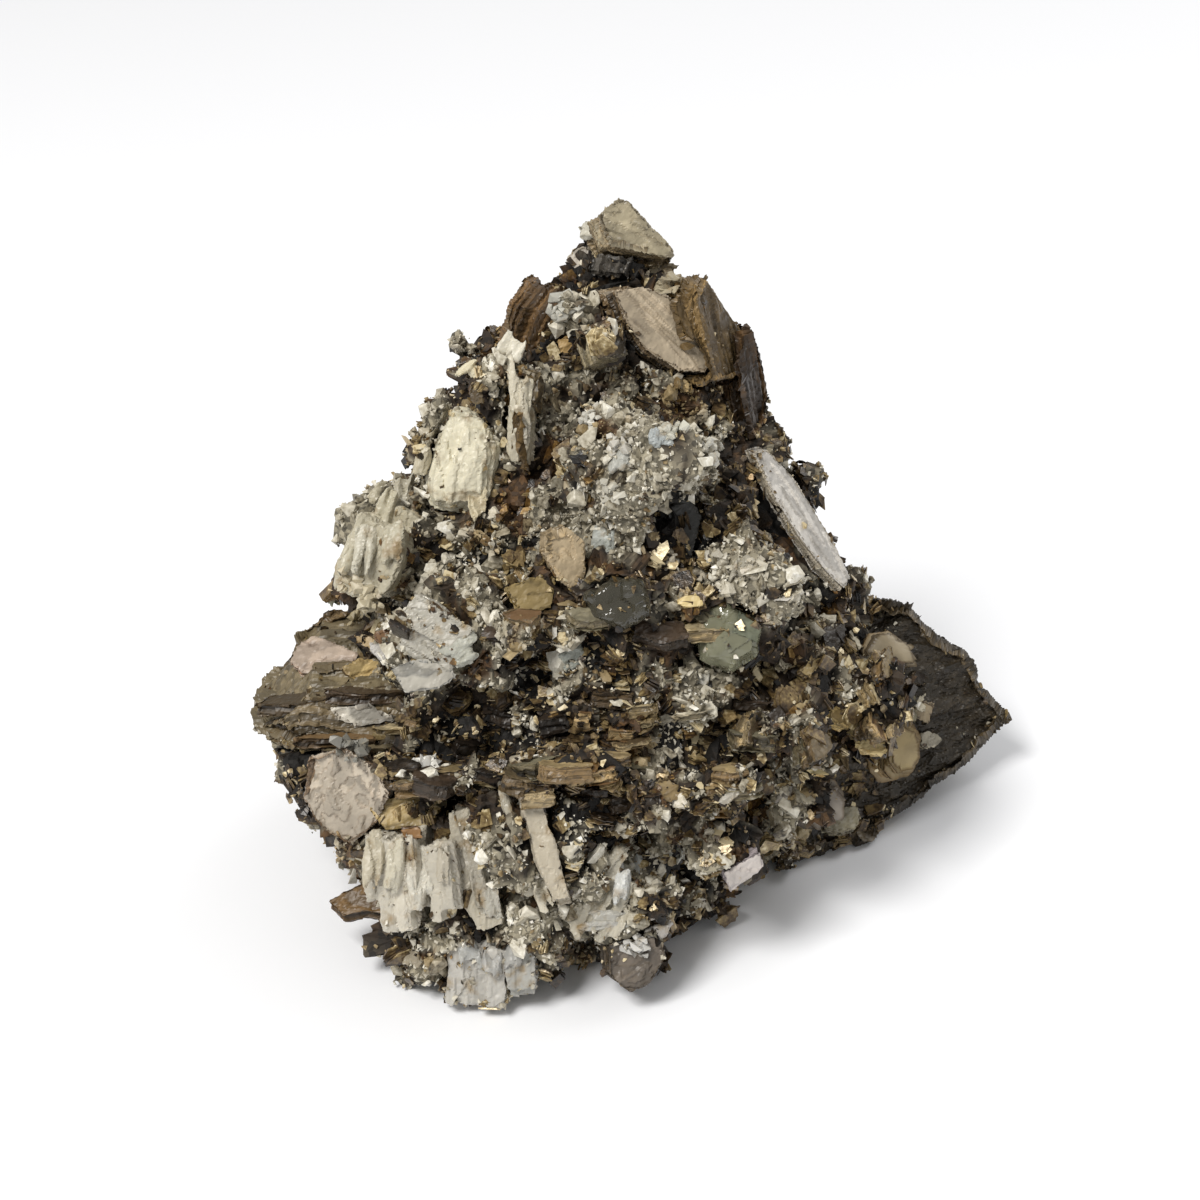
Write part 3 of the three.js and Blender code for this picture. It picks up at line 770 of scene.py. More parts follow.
def scatter(name, slot, seed, pieces, room, density, sizes, material, host=None, **more):
    """Spreads a kit over the rock, or another host, and keeps the result as one plain mesh."""
    host = host or bpy.data.objects["rock"]
    thing = bpy.data.objects.new(name, host.data.copy())
    bpy.context.scene.collection.objects.link(thing)
    tree = scatter_tree()
    modifier = thing.modifiers.new("scatter", "NODES")
    modifier.node_group = tree
    values = {
        "Pieces": pieces,
        "Room": room,
        "Density": density * 1e4,
        "Smallest": sizes[0] * MM,
        "Largest": sizes[1] * MM,
        "Skew": 2.0,
        "Sunk": -0.3 * MM,
        "Proud": 0.3 * MM,
        "Disorder": 5.0,
        "Seed": bpy.context.scene.specimen_scatter.seed + seed,
        "Material": material,
        **more,
    }
    for socket in tree.interface.items_tree:
        if socket.in_out == "INPUT" and socket.name in values:
            modifier[socket.identifier] = values[socket.name]
    mesh = applied(thing)
    for attribute in ("fabric", "sugar_room", "crumb_room", "flaky_room", "book_room", "sugar", "dark"):
        if attribute in mesh.attributes:
            mesh.attributes.remove(mesh.attributes[attribute])
    mesh.shade_flat()
    finished(thing, material, slot)
    for shape in list(pieces.objects):
        bpy.data.objects.remove(shape)
    bpy.data.collections.remove(pieces)


def build_grains():
    """White sugary grains, coarse lumps and tabular crystals of feldspar, and the brown and beige crumbs."""
    settings = bpy.context.scene.specimen_scatter
    white = sugar_material()
    scatter(
        "sugar_dust", "matrix", 11, kit("dust"), "sugar_room", settings.dust, (0.3, 0.9), white,
        Proud=0.5 * MM,
    )
    scatter(
        "sugar_grains", "matrix", 12, kit("grain"), "sugar_room", settings.sugar, (0.5, 1.5), white,
        Proud=0.45 * MM,
    )
    scatter("feldspar_lumps", "feldspar", 13, kit("lump"), "sugar_room", settings.lumps, (1.4, 3.6), white)
    scatter(
        "feldspar_tablets", "feldspar", 14, kit("tablet"), "sugar_room", settings.tablets, (1.8, 4.2), white,
        Proud=0.8 * MM, Disorder=1.2,
    )
    scatter("crumbs", "matrix", 15, kit("grain"), "crumb_room", settings.crumbs, (0.4, 1.5), crumb_material())


def build_flakes():
    """Single mica flakes and small ragged books, turned to the fabric of the rock."""
    settings = bpy.context.scene.specimen_scatter
    flaky = flake_material()
    scatter(
        "flakes", "mica", 21, kit("flake"), "flaky_room", settings.flakes, (0.8, 2.6), flaky,
        Proud=0.6 * MM, Disorder=0.8,
    )
    scatter(
        "booklets", "mica", 22, kit("booklet"), "flaky_room", settings.booklets, (1.3, 3.6), flaky,
        Proud=0.6 * MM, Disorder=0.7,
    )
    scatter(
        "loose_plates", "mica", 23, kit("plate"), "flaky_room", settings.plates, (3.0, 5.5), flaky,
        Sunk=-1.2 * MM, Proud=0.3 * MM, Disorder=0.6,
    )


def build_crust():
    """The grains, crumbs and flakes that have grown over the rims of the large crystals."""
    host = crust_host()
    settings = bpy.context.scene.specimen_scatter
    scatter(
        "crust_sugar", "matrix", 31, kit("grain"), "sugar_room", settings.crust,
        (0.45, 1.5), sugar_material(),
        host=host,
    )
    scatter(
        "crust_crumbs", "matrix", 32, kit("grain"), "crumb_room", settings.crust * 0.8,
        (0.4, 1.4), crumb_material(),
        host=host,
    )
    scatter(
        "crust_flakes", "mica", 33, kit("flake"), "flaky_room", settings.crust * 0.5,
        (0.8, 2.6), flake_material(),
        Proud=0.3 * MM, Disorder=1.0, host=host,
    )
    scatter(
        "crust_booklets", "mica", 34, kit("booklet"), "book_room", settings.crust * 0.14,
        (2.0, 4.6), flake_material(),
        Proud=0.5 * MM, Disorder=0.7, host=host,
    )
    bpy.data.objects.remove(host)


def crust_host():
    """One mesh of all the large crystals, with the room for crust near the rock and the zones of the rock."""
    rock = bpy.data.objects["rock"].data
    shell = surface("rock")
    points, faces, strewn = [], [], []
    for thing in [o for o in bpy.data.objects if o.get("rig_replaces") and o.name != "rock"]:
        mesh = thing.data
        faces += [[i + len(points) for i in f.vertices] for f in mesh.polygons]
        points += places(mesh).tolist()
        share = np.full(len(mesh.vertices), STREWN.get(thing.name, 0.0))
        if thing.name == "dark_slab_sheets":
            ragged = cloud(places(mesh), 8 * MM, 3.0) * 4 * MM
            outside = smooth(places(mesh)[:, 0] + ragged, (OVERGROWN - 6) * MM, OVERGROWN * MM)
            share = np.maximum(share, 1 - outside)
        strewn += share.tolist()
    host = mesh_object("crust", points, faces)
    nearest = [shell.find_nearest(p) for p in points]
    near = 1 - smooth([found[3] for found in nearest], 0.5 * MM, CRUST_REACH)
    patchy = smooth(cloud(points, 2.2 * MM, 33.0, 2), -0.25, 0.2)
    strewn = np.array(strewn)
    loose = smooth(cloud(points, 3.0 * MM, 35.0, 3) + strewn * 0.5, 0.1, 0.35) * strewn
    room = np.maximum(near * patchy, loose) * smooth([p[2] for p in points], 0.5 * MM, 1.5 * MM)
    corners = [rock.polygons[found[2]].vertices[0] for found in nearest]
    for key in ("sugar", "stain"):
        values = np.empty(len(rock.vertices), np.float32)
        rock.attributes[key].data.foreach_get("value", values)
        store(host.data, key, values[corners])
    sugar = np.empty(len(points), np.float32)
    host.data.attributes["sugar"].data.foreach_get("value", sugar)
    store(host.data, "sugar_room", sugar * room)
    store(host.data, "crumb_room", (1 - sugar * 0.6) * room)
    store(host.data, "flaky_room", (1 - sugar * 0.8) * room)
    store(host.data, "book_room", (1 - sugar * 0.8) * room * (strewn > 0.3))
    store(host.data, "fabric", directions(host.data))
    return host


# ----------------------------------------------------------------------------------------------------
# Books and plates of mica


class Stack:
    """Closed thin sheets gathered into one mesh, with the tint, tone and depth of each point."""

    def __init__(self):
        self.points, self.faces = [], []
        self.tint, self.sheet, self.edge, self.depth = [], [], [], []
        self.count = 0

    def add(self, points, faces, tint, sheet, edge, depth):
        self.points.append(points)
        self.faces += [[i + self.count for i in f] for f in faces]
        self.tint.append(tint)
        self.sheet.append(np.full(len(points), sheet))
        self.edge.append(edge)
        self.depth.append(depth)
        self.count += len(points)

    def object(self, name):
        thing = mesh_object(name, np.concatenate(self.points), self.faces)
        for key in ("tint", "sheet", "edge", "depth"):
            store(thing.data, key, np.concatenate(getattr(self, key)))
        thing.data.shade_flat()
        return thing


@functools.lru_cache(maxsize=None)
def sheet_faces(corners, rings):
    """The faces of a sheet whose two sides each have a centre and that many rings, from the rim inwards."""
    side = corners * rings + 1
    faces = []
    for i in range(corners):
        j = (i + 1) % corners
        for r in range(rings - 1):
            a, b = r * corners, (r + 1) * corners
            faces.append([a + i, b + i, b + j, a + j])
            faces.append([side + a + i, side + a + j, side + b + j, side + b + i])
        last = (rings - 1) * corners
        faces.append([last + i, corners * rings, last + j])
        faces.append([side + last + i, side + last + j, side + corners * rings])
        faces.append([i, j, side + j, side + i])
    return faces


def add_sheet(stack, place, radii, span, lift, fray, shares, face_tint, edge_tint, tone):
    """One sheet: its outline as radii round the middle, its two depths, its face's height at each point."""
    origin, across, up, out = (np.array(v) for v in place)
    corners = len(radii)
    angles = np.arange(corners) * math.tau / corners
    x = np.concatenate([np.outer(shares, radii * np.cos(angles)).ravel(), [0.0]])
    y = np.concatenate([np.outer(shares, radii * np.sin(angles)).ravel(), [0.0]])
    rim = np.concatenate([np.repeat(shares, corners), [0.0]])
    lifted = lift(x, y) + rim**5 * np.concatenate([np.tile(fray, len(shares)), [0.0]])
    edge = smooth(rim, 0.86, 1.0)
    sides = []
    for depth in span:
        sides.append(origin + np.outer(x, across) + np.outer(y, up) + np.outer(depth + lifted, out))
    blend = edge[:, None]
    tint = np.array(face_tint) * (1 - blend) + np.array(edge_tint) * blend
    stack.add(
        np.concatenate(sides),
        sheet_faces(corners, len(shares)),
        np.concatenate([tint, tint]),
        tone,
        np.concatenate([edge, edge]),
        np.concatenate([np.full(len(x), d / MM) for d in span]),
    )


def waves(size, height, draw):
    """A gently buckled surface: a few long waves across each other."""
    terms = []
    for _ in range(4):
        angle, phase = draw.uniform(0, math.tau), draw.uniform(0, math.tau)
        number = math.tau / (size * draw.uniform(0.5, 1.4))
        terms.append((math.cos(angle) * number, math.sin(angle) * number, phase))

    def lift(x, y):
        return sum(np.sin(x * a + y * b + phase) for a, b, phase in terms) * height / 4

    return lift


def ragged_rim(corners, coarse, fine, draw):
    """How far a torn rim falls back at each corner: a few broken bites and a fine tooth."""
    bites = np.zeros(corners)
    start = draw.randrange(corners)
    i = 0
    while i < corners:
        run = draw.randint(2, max(3, corners // 7))
        deep = coarse * draw.random() ** 1.7
        for k in range(i, min(i + run, corners)):
            bites[(start + k) % corners] = deep
        i += run
    tooth = np.array([draw.random() for _ in range(corners)]) * fine
    return bites + tooth


def cut_straight(radii, turn, distance):
    """Cuts an outline back to a straight cleavage edge at that distance from its middle."""
    corners = len(radii)
    towards = np.cos(np.arange(corners) * math.tau / corners - turn)
    limit = np.where(towards > 1e-3, distance / np.maximum(towards, 1e-3), 1e9)
    return np.minimum(radii, limit)


Book = namedtuple("Book", "face edge pitch ragged retreat wave bend fray")
# Face and edge colour, pitch of the sheets, raggedness, how far the sheets step back towards the face,
# height of the waves, bend and fraying at the rim, all in millimetres.
BOOKS = {
    "upper_rosette": Book("988B72", "6D5A3C", 0.34, 0.6, 1.4, 0.3, 0.5, 0.3),
    "middle_rosette": Book("988762", "6D5733", 0.32, 0.5, 2.2, 0.3, 0.5, 0.3),
    "lower_rosette": Book("8E867C", "6E5F4B", 0.32, 0.5, 2.0, 0.3, 0.5, 0.3),
}

Lamellae = namedtuple("Lamellae", "face edge pitch ragged steps wave streak level", defaults=(False,))
# Rough books: face and edge colour, pitch of the layers, how far some fall back, the depth of the steps
# on the face, height of the waves, all in millimetres, how much longer than wide the steps are, and
# whether they lie level.
ROUGH_BOOKS = {
    "apex_book": Lamellae("A0967E", "6E6048", 0.5, 1.8, 1.2, 1.1, 3.0),
    "silver_book": Lamellae("AEA08A", "5A4A34", 0.45, 1.2, 0.8, 0.8, 8.0),
    "side_plate": Lamellae("C6C2BC", "8B8374", 0.4, 0.8, 0.8, 0.5, 4.0),
    "pink_plate": Lamellae("A49A8B", "6E5B47", 0.5, 1.6, 1.4, 1.0, 2.0),
    "leaf_book": Lamellae("A59478", "8C7A5C", 0.4, 1.8, 1.2, 0.8, 3.0),
    "fan_book": Lamellae("5C4C33", "6E5A3A", 0.6, 1.8, 2.4, 0.9, 9.0),
    "shoulder_book": Lamellae("36291C", "54402A", 0.6, 1.8, 2.4, 0.8, 8.0),
    "ledge_book": Lamellae("71664F", "55462F", 0.55, 3.0, 2.4, 1.3, 5.0, True),
    "tab_book": Lamellae("6B5538", "4C3A24", 0.5, 0.7, 0.8, 0.3, 2.0),
    "dark_slab": Lamellae("2D271E", "473C2A", 0.8, 2.8, 3.4, 1.8, 3.0, True),
    "toe_book": Lamellae("6C6359", "54493B", 0.5, 0.8, 1.2, 0.5, 2.0),
    "crest_book": Lamellae("5E4E36", "544028", 0.6, 1.3, 1.8, 0.6, 4.0),
}
# The size of one step in how far a layer has fallen back.
STEP = 0.3
# Where the rings of points of an inner sheet and of one near the face lie, as shares of the outline's radius.
INNER_RINGS = np.array([1.0, 0.84])
FACE_RINGS = np.array([1.0, 0.93, 0.84, 0.65, 0.42, 0.2])


def flat_direction(points, faces):
    """The way that the largest flat face of a book looks, on the side away from the specimen's middle."""
    areas = {}
    for f in faces:
        a, b, c = (points[i] for i in f[:3])
        normal = (b - a).cross(c - a)
        if normal.length > 0:
            key = tuple(round(abs(x), 2) for x in normal.normalized())
            total = areas.setdefault(key, [0.0, normal.normalized()])
            total[0] += normal.length
    best = max(areas.values(), key=lambda entry: entry[0])[1]
    middle = sum(points, Vector()) / len(points)
    return best if best.dot(middle - MIDDLE) > 0 else -best


def book_place(points, out):
    """The middle of a book and its directions across, up and out of its face."""
    across = Vector((0, 0, 1)).cross(out)
    across = across.normalized() if across.length > 0.2 else Vector((1, 0, 0))
    up = out.cross(across)
    spans = [[p.dot(axis) for p in points] for axis in (across, up, out)]
    middle = sum((axis * (min(s) + max(s)) / 2 for axis, s in zip((across, up, out), spans)), Vector())
    return (middle, across, up, out), (max(spans[2]) - min(spans[2])) / 2


def outline_at(tree, place, depth, corners):
    """The radii of a book's outline at that depth from its middle."""
    middle, across, up, out = place
    centre = middle + out * depth
    radii = []
    for i in range(corners):
        angle = i * math.tau / corners
        heading = across * math.cos(angle) + up * math.sin(angle)
        reach = 0.0
        start = centre
        for _ in range(6):
            point = tree.ray_cast(start, heading)[0]
            if point is None:
                break
            reach = (point - centre).length
            start = point + heading * 1e-5
        radii.append(reach)
    known = [r for r in radii if r > 0]
    fallback = sum(known) / max(1, len(known))
    return np.array([r if r > 0 else fallback for r in radii])


def build_book(node, look, slot, material):
    """Rebuilds one CAD book as many thin torn sheets with broken steps on its face."""
    settings = bpy.context.scene.specimen_mica
    draw = random.Random(node)
    points, faces = merged(node)
    tree = BVHTree.FromPolygons(points, faces)
    place, half = book_place(points, flat_direction(points, faces))
    stack = Stack()
    sheets = max(4, round(2 * half / (look.pitch * MM)))
    edges = np.cumsum([draw.uniform(0.5, 1.5) for _ in range(sheets)])
    edges = np.concatenate([[0.0], edges / edges[-1]]) * 2 * half - half
    size = 2 * float(outline_at(tree, place, 0.0, 12).mean())
    buckle = waves(size, look.wave * MM, draw)
    bend_turn = draw.uniform(0, math.tau)

    def lift(x, y):
        run = (x * math.cos(bend_turn) + y * math.sin(bend_turn)) / (size / 2)
        return buckle(x, y) - look.bend * MM * run**2

    face_tint, edge_tint = linear(look.face), linear(look.edge)
    grain = draw.uniform(0, math.tau)
    fall = 0.0
    for i in range(sheets):
        low, high = edges[i], edges[i + 1]
        parted = (high - low) * settings.parted
        outline = outline_at(tree, place, (low + high) / 2 * 0.98, settings.corners)
        towards_face = i / (sheets - 1)
        fall += look.retreat * MM * draw.random() ** 1.5 * 2.5 / sheets * towards_face
        slack = look.retreat * MM * 0.35 * draw.random() ** 3
        radii = outline - fall - slack - ragged_rim(settings.corners, look.ragged * MM, 0.12 * MM, draw)
        for _ in range(draw.choice((0, 1, 2))):
            turn = grain + draw.randrange(6) * math.tau / 6
            cut_at = size / 2 * (1.05 - draw.random() ** 2 * (0.15 + 0.45 * towards_face))
            radii = cut_straight(radii, turn, cut_at)
        radii = np.maximum(radii, 0.4 * MM)
        fray = ragged_rim(settings.corners, look.fray * MM, 0.03 * MM, draw) * draw.choice((-1, 1))
        near_face = towards_face > 0.55 or i == 0
        add_sheet(
            stack, place, radii, (low + parted / 2, high - parted / 2), lift, fray,
            FACE_RINGS if near_face else INNER_RINGS, face_tint, edge_tint, draw.random(),
        )
    finished(stack.object(node + "_sheets"), material, slot, node)


def laminated(mesh, place, look, draw):
    """Breaks an even mesh into layers grown tight together, with torn rims and stepped faces."""
    middle, out = np.array(place[0]), np.array(place[3])
    points, normals = places(mesh), directions(mesh)
    flat = points - middle
    flat = flat - np.outer(flat @ out, out)
    along = np.array(place[1] if look.level else long_axis(flat)[0])
    x, y, z = ((points - middle) @ axis for axis in (along, np.cross(out, along), out))
    depth = z + waves(14 * MM, look.wave * MM, draw)(x, y)
    cuts = [depth.min()]
    while cuts[-1] < depth.max():
        cuts.append(cuts[-1] + look.pitch * MM * draw.uniform(0.5, 1.5))
    facing = normals @ out
    rim = 1 - smooth(np.abs(facing), 0.45, 0.85)
    shift = draw.uniform(0, 40)
    drawn = np.stack([x / look.streak, y, z * 0.4], axis=1)
    fallen = np.clip(cloud(drawn, 3.0 * MM, shift, 4) * 0.5 + 0.5, 0, 1) * look.steps
    step = np.floor(fallen / STEP)
    rise = smooth(fallen / STEP % 1, 0.7, 1.0)
    fallen = (step + rise) * STEP
    edge = np.maximum(rim, 1.6 * rise * (1 - rise))
    layer = np.searchsorted(cuts, depth)
    back = np.array([draw.random() ** 1.6 for _ in range(len(cuts) + 1)])[layer]
    own_place = np.stack([x, y, layer * 5 * MM], axis=1)
    torn = cloud(own_place, 3.2 * MM, shift, 3) * 0.5 + cloud(own_place, 1.2 * MM, shift, 2) * 0.25 + 0.45
    outwards = normals - np.outer(facing, out)
    outwards /= np.maximum(np.linalg.norm(outwards, axis=1, keepdims=True), 1e-6)
    moved = points - outwards * (rim * (back + np.clip(torn, 0, 1)) * look.ragged * 0.5 * MM)[:, None]
    moved -= np.outer(np.sign(facing) * (1 - rim) * fallen * MM, out)
    moved += normals * (cloud(points, 0.8 * MM, shift, 2) * 0.12 * MM)[:, None]
    move_points(mesh, moved)
    tones = np.array([draw.random() for _ in range(97)])
    own = tones[(layer + np.where(rim < 0.5, step.astype(int) * 3, 0)) % len(tones)]
    blend = edge[:, None]
    store(mesh, "tint", np.array(linear(look.face)) * (1 - blend) + np.array(linear(look.edge)) * blend)
    store(mesh, "sheet", own)
    store(mesh, "edge", edge)
    store(mesh, "depth", depth / MM + fallen * np.sign(facing))
    mesh.shade_flat()


def build_rough_book(node, look, slot, material):
    """Rebuilds one CAD book as tight torn layers."""
    points, faces = merged(node)
    place, _ = book_place(points, flat_direction(points, faces))
    voxel = bpy.context.scene.specimen_mica.voxel
    thing = remeshed(node + "_sheets", node, voxel)
    laminated(thing.data, place, look, random.Random(node))
    finished(thing, material, slot, node)


def build_books():
    """Every mica book and plate of the frame: smooth ones as torn sheets, rough ones as tight layers."""
    slots = {row["node"]: row["material_slot"] for row in frame["record"]["subparts"]}
    for table, build in ((BOOKS, build_book), (ROUGH_BOOKS, build_rough_book)):
        for node, look in table.items():
            material = biotite_material() if slots[node] == "dark_mica" else mica_material()
            build(node, look, slots[node], material)


# ----------------------------------------------------------------------------------------------------
# Loose flakes and crystals that stand out on the front

# Left and right, low and high, in millimetres from the aim, then how many small books there and the way
# that they face.
BELT = (
    (-30, 22, -29, -12, 46, (0.05, 0.15, 1.0)),
    (20, 42, -24, -4, 18, (0.75, -0.15, 0.65)),
    (-16, 16, -12, 2, 10, (0.15, -0.2, 0.9)),
    (40, 47, -22, -8, 6, (0.75, -0.3, 0.5)),
    (24, 40, -36, -24, 8, (0.5, -0.2, 0.8)),
)

Chip = namedtuple("Chip", "across up wide high thick face tint edge")
# Place across and up from the aim, width, height and thickness in millimetres, the way it faces, and its
# colours.
CHIPS = (
    Chip(-3.7, 36.5, 4.8, 5.8, 1.2, (0.1, -0.85, 0.5), "B89A68", "8A6C40"),
    Chip(-40.4, -8.4, 12.0, 8.5, 1.6, (-0.12, -0.35, 0.95), "B5A494", "7A6250"),
    Chip(-34.2, -10.1, 5.5, 6.0, 2.4, (0.35, -0.75, 0.55), "B7A070", "6E5835"),
    Chip(-34.0, -16.5, 9.5, 3.8, 2.6, (-0.05, -0.95, 0.3), "B4AFA4", "7F776A"),
    Chip(-25.2, -11.0, 9.0, 7.0, 2.4, (0.1, -0.85, 0.5), "A19D93", "8A8A86"),
    Chip(-28.6, -30.4, 9.6, 5.6, 3.6, (0.0, -0.75, 0.65), "AD9767", "6E5A36"),
    Chip(-25.0, -24.6, 5.0, 5.6, 3.0, (-0.1, -0.85, 0.5), "D6D4CD", "A8A59C"),
    Chip(-27.0, -33.6, 4.0, 2.8, 0.8, (0.0, -0.9, 0.4), "86643E", "5A4228"),
    Chip(46.0, -16.1, 5.8, 6.6, 2.2, (0.5, -0.7, 0.5), "A8977A", "6B5940"),
    Chip(39.1, -20.5, 5.0, 4.5, 1.4, (0.2, -0.75, 0.6), "CDB988", "9A8050"),
    Chip(37.0, -19.0, 3.6, 3.2, 0.8, (-0.3, -0.7, 0.6), "D8C694", "9A8050"),
    Chip(32.0, -24.5, 5.0, 3.0, 1.0, (0.1, -0.6, 0.8), "D6C79A", "94794A"),
    Chip(20.6, -38.6, 7.0, 7.5, 3.4, (0.3, -0.9, 0.1), "AEA7A2", "8A8284"),
    Chip(13.1, -0.1, 4.0, 3.3, 0.9, (0.0, -0.8, 0.6), "C9B582", "8A7448"),
    Chip(26.9, 0.3, 6.4, 2.4, 0.8, (0.2, -0.4, 0.9), "C8C4BC", "8E887C"),
    # A painted highlight: this near-white plate's colour stands in for a glint on the mica.
    Chip(-11.1, -1.7, 2.4, 3.8, 0.6, (0.3, -0.8, 0.5), "E8E4DA", "B8B2A4"),
    Chip(-38.4, 4.3, 3.6, 9.0, 1.2, (-0.75, -0.6, 0.3), "77765F", "55533E"),
    Chip(20.8, -3.6, 6.0, 7.4, 1.2, (0.25, -0.85, 0.45), "777B68", "5A5E4C"),
    Chip(-3.2, 48.5, 4.0, 7.0, 1.5, (-0.5, -0.75, 0.4), "B4ACA0", "857C6C"),
    Chip(-1.6, 53.0, 4.0, 5.0, 1.2, (-0.3, -0.8, 0.5), "A8A496", "7C7664"),
    Chip(2.4, 48.1, 5.0, 4.6, 6.0, (0.95, -0.3, 0.05), "3C3834", "46423C"),
    Chip(8.6, 47.1, 5.8, 3.8, 1.2, (0.4, -0.7, 0.6), "A39377", "6E5E44"),
    Chip(11.8, 10.0, 5.0, 11.5, 1.5, (0.1, -0.9, 0.4), "3A3A38", "2A2620"),
    Chip(9.0, -27.5, 6.0, 5.0, 2.4, (0.3, -0.6, 0.8), "8E7B58", "54442C"),
    Chip(-11.5, 22.0, 3.0, 9.0, 2.0, (0.6, -0.75, 0.1), "6E5A3A", "4A3A22"),
    Chip(0.8, 36.3, 6.0, 7.0, 5.0, (0.72, -0.3, 0.6), "3C3428", "6E6550"),
    Chip(-9.3, 29.5, 4.0, 9.0, 2.5, (0.95, -0.3, 0.0), "4E4230", "6A5C42"),
    Chip(11.2, 31.0, 4.0, 4.0, 3.0, (-0.7, -0.3, 0.5), "6A5636", "8C7A58"),
    Chip(-17.6, 30.0, 3.6, 5.0, 2.0, (-0.5, -0.6, 0.6), "4E4230", "5E5038"),
    Chip(-1.8, 34.4, 2.6, 2.4, 0.9, (0.1, -0.85, 0.5), "D6C7A0", "9A8250"),
    Chip(0.0, 55.6, 2.4, 3.6, 1.6, (-0.3, -0.8, 0.5), "8C8470", "5E5644"),
    Chip(7.8, 47.0, 3.0, 4.6, 1.6, (0.3, -0.8, 0.4), "A59A80", "6E6148"),
    Chip(-38.6, -9.8, 8.0, 5.0, 2.4, (-0.1, -0.35, 1.0), "7C6E54", "4A3D2A"),
    Chip(-33.0, -13.4, 12.0, 5.0, 2.4, (0.0, 0.1, 1.0), "4A3D2C", "3A2D1E"),
    Chip(-43.0, -14.6, 12.0, 6.0, 2.6, (-0.12, 0.05, 1.0), "5A4C36", "4A3C28"),
    Chip(-37.0, -19.6, 15.0, 5.0, 2.0, (0.0, 0.15, 1.0), "6A553A", "4E3D28"),
    Chip(-33.4, -6.0, 4.0, 3.4, 1.6, (-0.3, -0.7, 0.6), "A08A66", "6A5638"),
    Chip(-30.6, -5.4, 4.6, 3.0, 1.4, (0.2, -0.7, 0.6), "7C5F44", "5A4430"),
    Chip(-6.8, -3.4, 5.6, 4.2, 1.2, (0.1, -0.85, 0.5), "8E8470", "645A48"),
    Chip(-8.6, 1.0, 8.6, 6.6, 2.6, (0.15, -0.8, 0.55), "A48F60", "6A5832"),
    Chip(30.0, -10.0, 6.5, 5.0, 2.2, (0.5, -0.5, 0.7), "87754F", "55452A"),
    Chip(34.5, -16.5, 6.0, 5.0, 2.4, (0.55, -0.5, 0.7), "7A6844", "A48E5E"),
)

# How much of its given colour a toned down nugget keeps.
TONED_DOWN = 0.88
# Grains in one nugget.
NUGGET_GRAINS = 22
Nugget = namedtuple("Nugget", "across up wide high deep tint share", defaults=(1.0,))
# Place across and up from the aim, width, height and depth in millimetres, colour, and the share of it kept.
NUGGETS = (
    Nugget(-5.2, 42.2, 4.8, 5.5, 4.0, "BAB8AE"),
    Nugget(9.8, 45.2, 5.4, 3.6, 4.0, "A59B84"),
    Nugget(-25.1, -25.0, 5.2, 5.8, 4.5, "E2E0DA", TONED_DOWN),
    Nugget(-21.5, -27.3, 6.0, 3.2, 3.0, "BFC4B4", TONED_DOWN),
    Nugget(-36.0, 3.0, 4.6, 4.2, 4.0, "CFC4A8", TONED_DOWN),
    Nugget(-33.5, 0.4, 4.8, 4.0, 4.0, "D8CCB0", TONED_DOWN),
    Nugget(-34.6, -2.6, 5.4, 3.2, 3.4, "C9BA98", TONED_DOWN),
    Nugget(4.9, -49.7, 5.2, 4.0, 3.0, "D8D6D0", TONED_DOWN),
    Nugget(-36.0, -21.5, 5.4, 4.0, 4.0, "8F8D84", TONED_DOWN),
    Nugget(10.0, 6.0, 4.2, 3.6, 3.6, "D5CDBB", TONED_DOWN),
    Nugget(13.5, 3.4, 4.0, 3.6, 3.4, "CFC6B2", TONED_DOWN),
    Nugget(17.2, 5.2, 4.4, 3.8, 3.4, "D8D1C0", TONED_DOWN),
    Nugget(22.4, 4.6, 4.6, 3.6, 3.4, "D2CAB8", TONED_DOWN),
    Nugget(11.4, -36.0, 3.4, 4.4, 3.4, "B6B5AA"),
    Nugget(-1.4, 25.6, 4.4, 3.4, 3.4, "DDD9CE", TONED_DOWN),
    Nugget(3.0, 22.0, 3.8, 4.4, 3.4, "DAD6CA", TONED_DOWN),
    Nugget(10.2, 24.0, 4.6, 3.4, 3.4, "BAB8AC"),
    Nugget(15.0, 21.6, 4.0, 4.0, 3.4, "B8B5AA"),
    Nugget(2.0, 15.6, 4.0, 4.4, 3.4, "D3CFC0", TONED_DOWN),
)


# Colours of the face and the edge of the small books in the belt.
BELT_TINTS = (
    ("675A43", "4A3D2A"), ("8C7B5A", "5E4D34"), ("41352A", "2C2319"),
    ("AC9D7C", "7A6A4C"), ("332B24", "221B14"),
    ("76705C", "524A38"), ("A39C8A", "6E6552"), ("544632", "8A7A5C"),
    ("2A231C", "4A3D2C"), ("6A5136", "8A7654"),
)


def belt_chips():
    """Small books all over the layered belt and the right side, lying along the fabric of the rock."""
    draw = random.Random("belt")
    rows = []
    for left, right, low, high, count, facing in BELT:
        for _ in range(count):
            across, up = draw.uniform(left, right), draw.uniform(low, high)
            face = Vector(facing).normalized() + Vector([draw.uniform(-0.22, 0.22) for _ in range(3)])
            wide = draw.uniform(4.0, 8.5)
            tint, edge = draw.choice(BELT_TINTS)
            tall = wide * draw.uniform(0.5, 0.8)
            thick = draw.uniform(1.4, 3.2)
            rows.append(Chip(across, up, wide, tall, thick, face, tint, edge))
    return rows


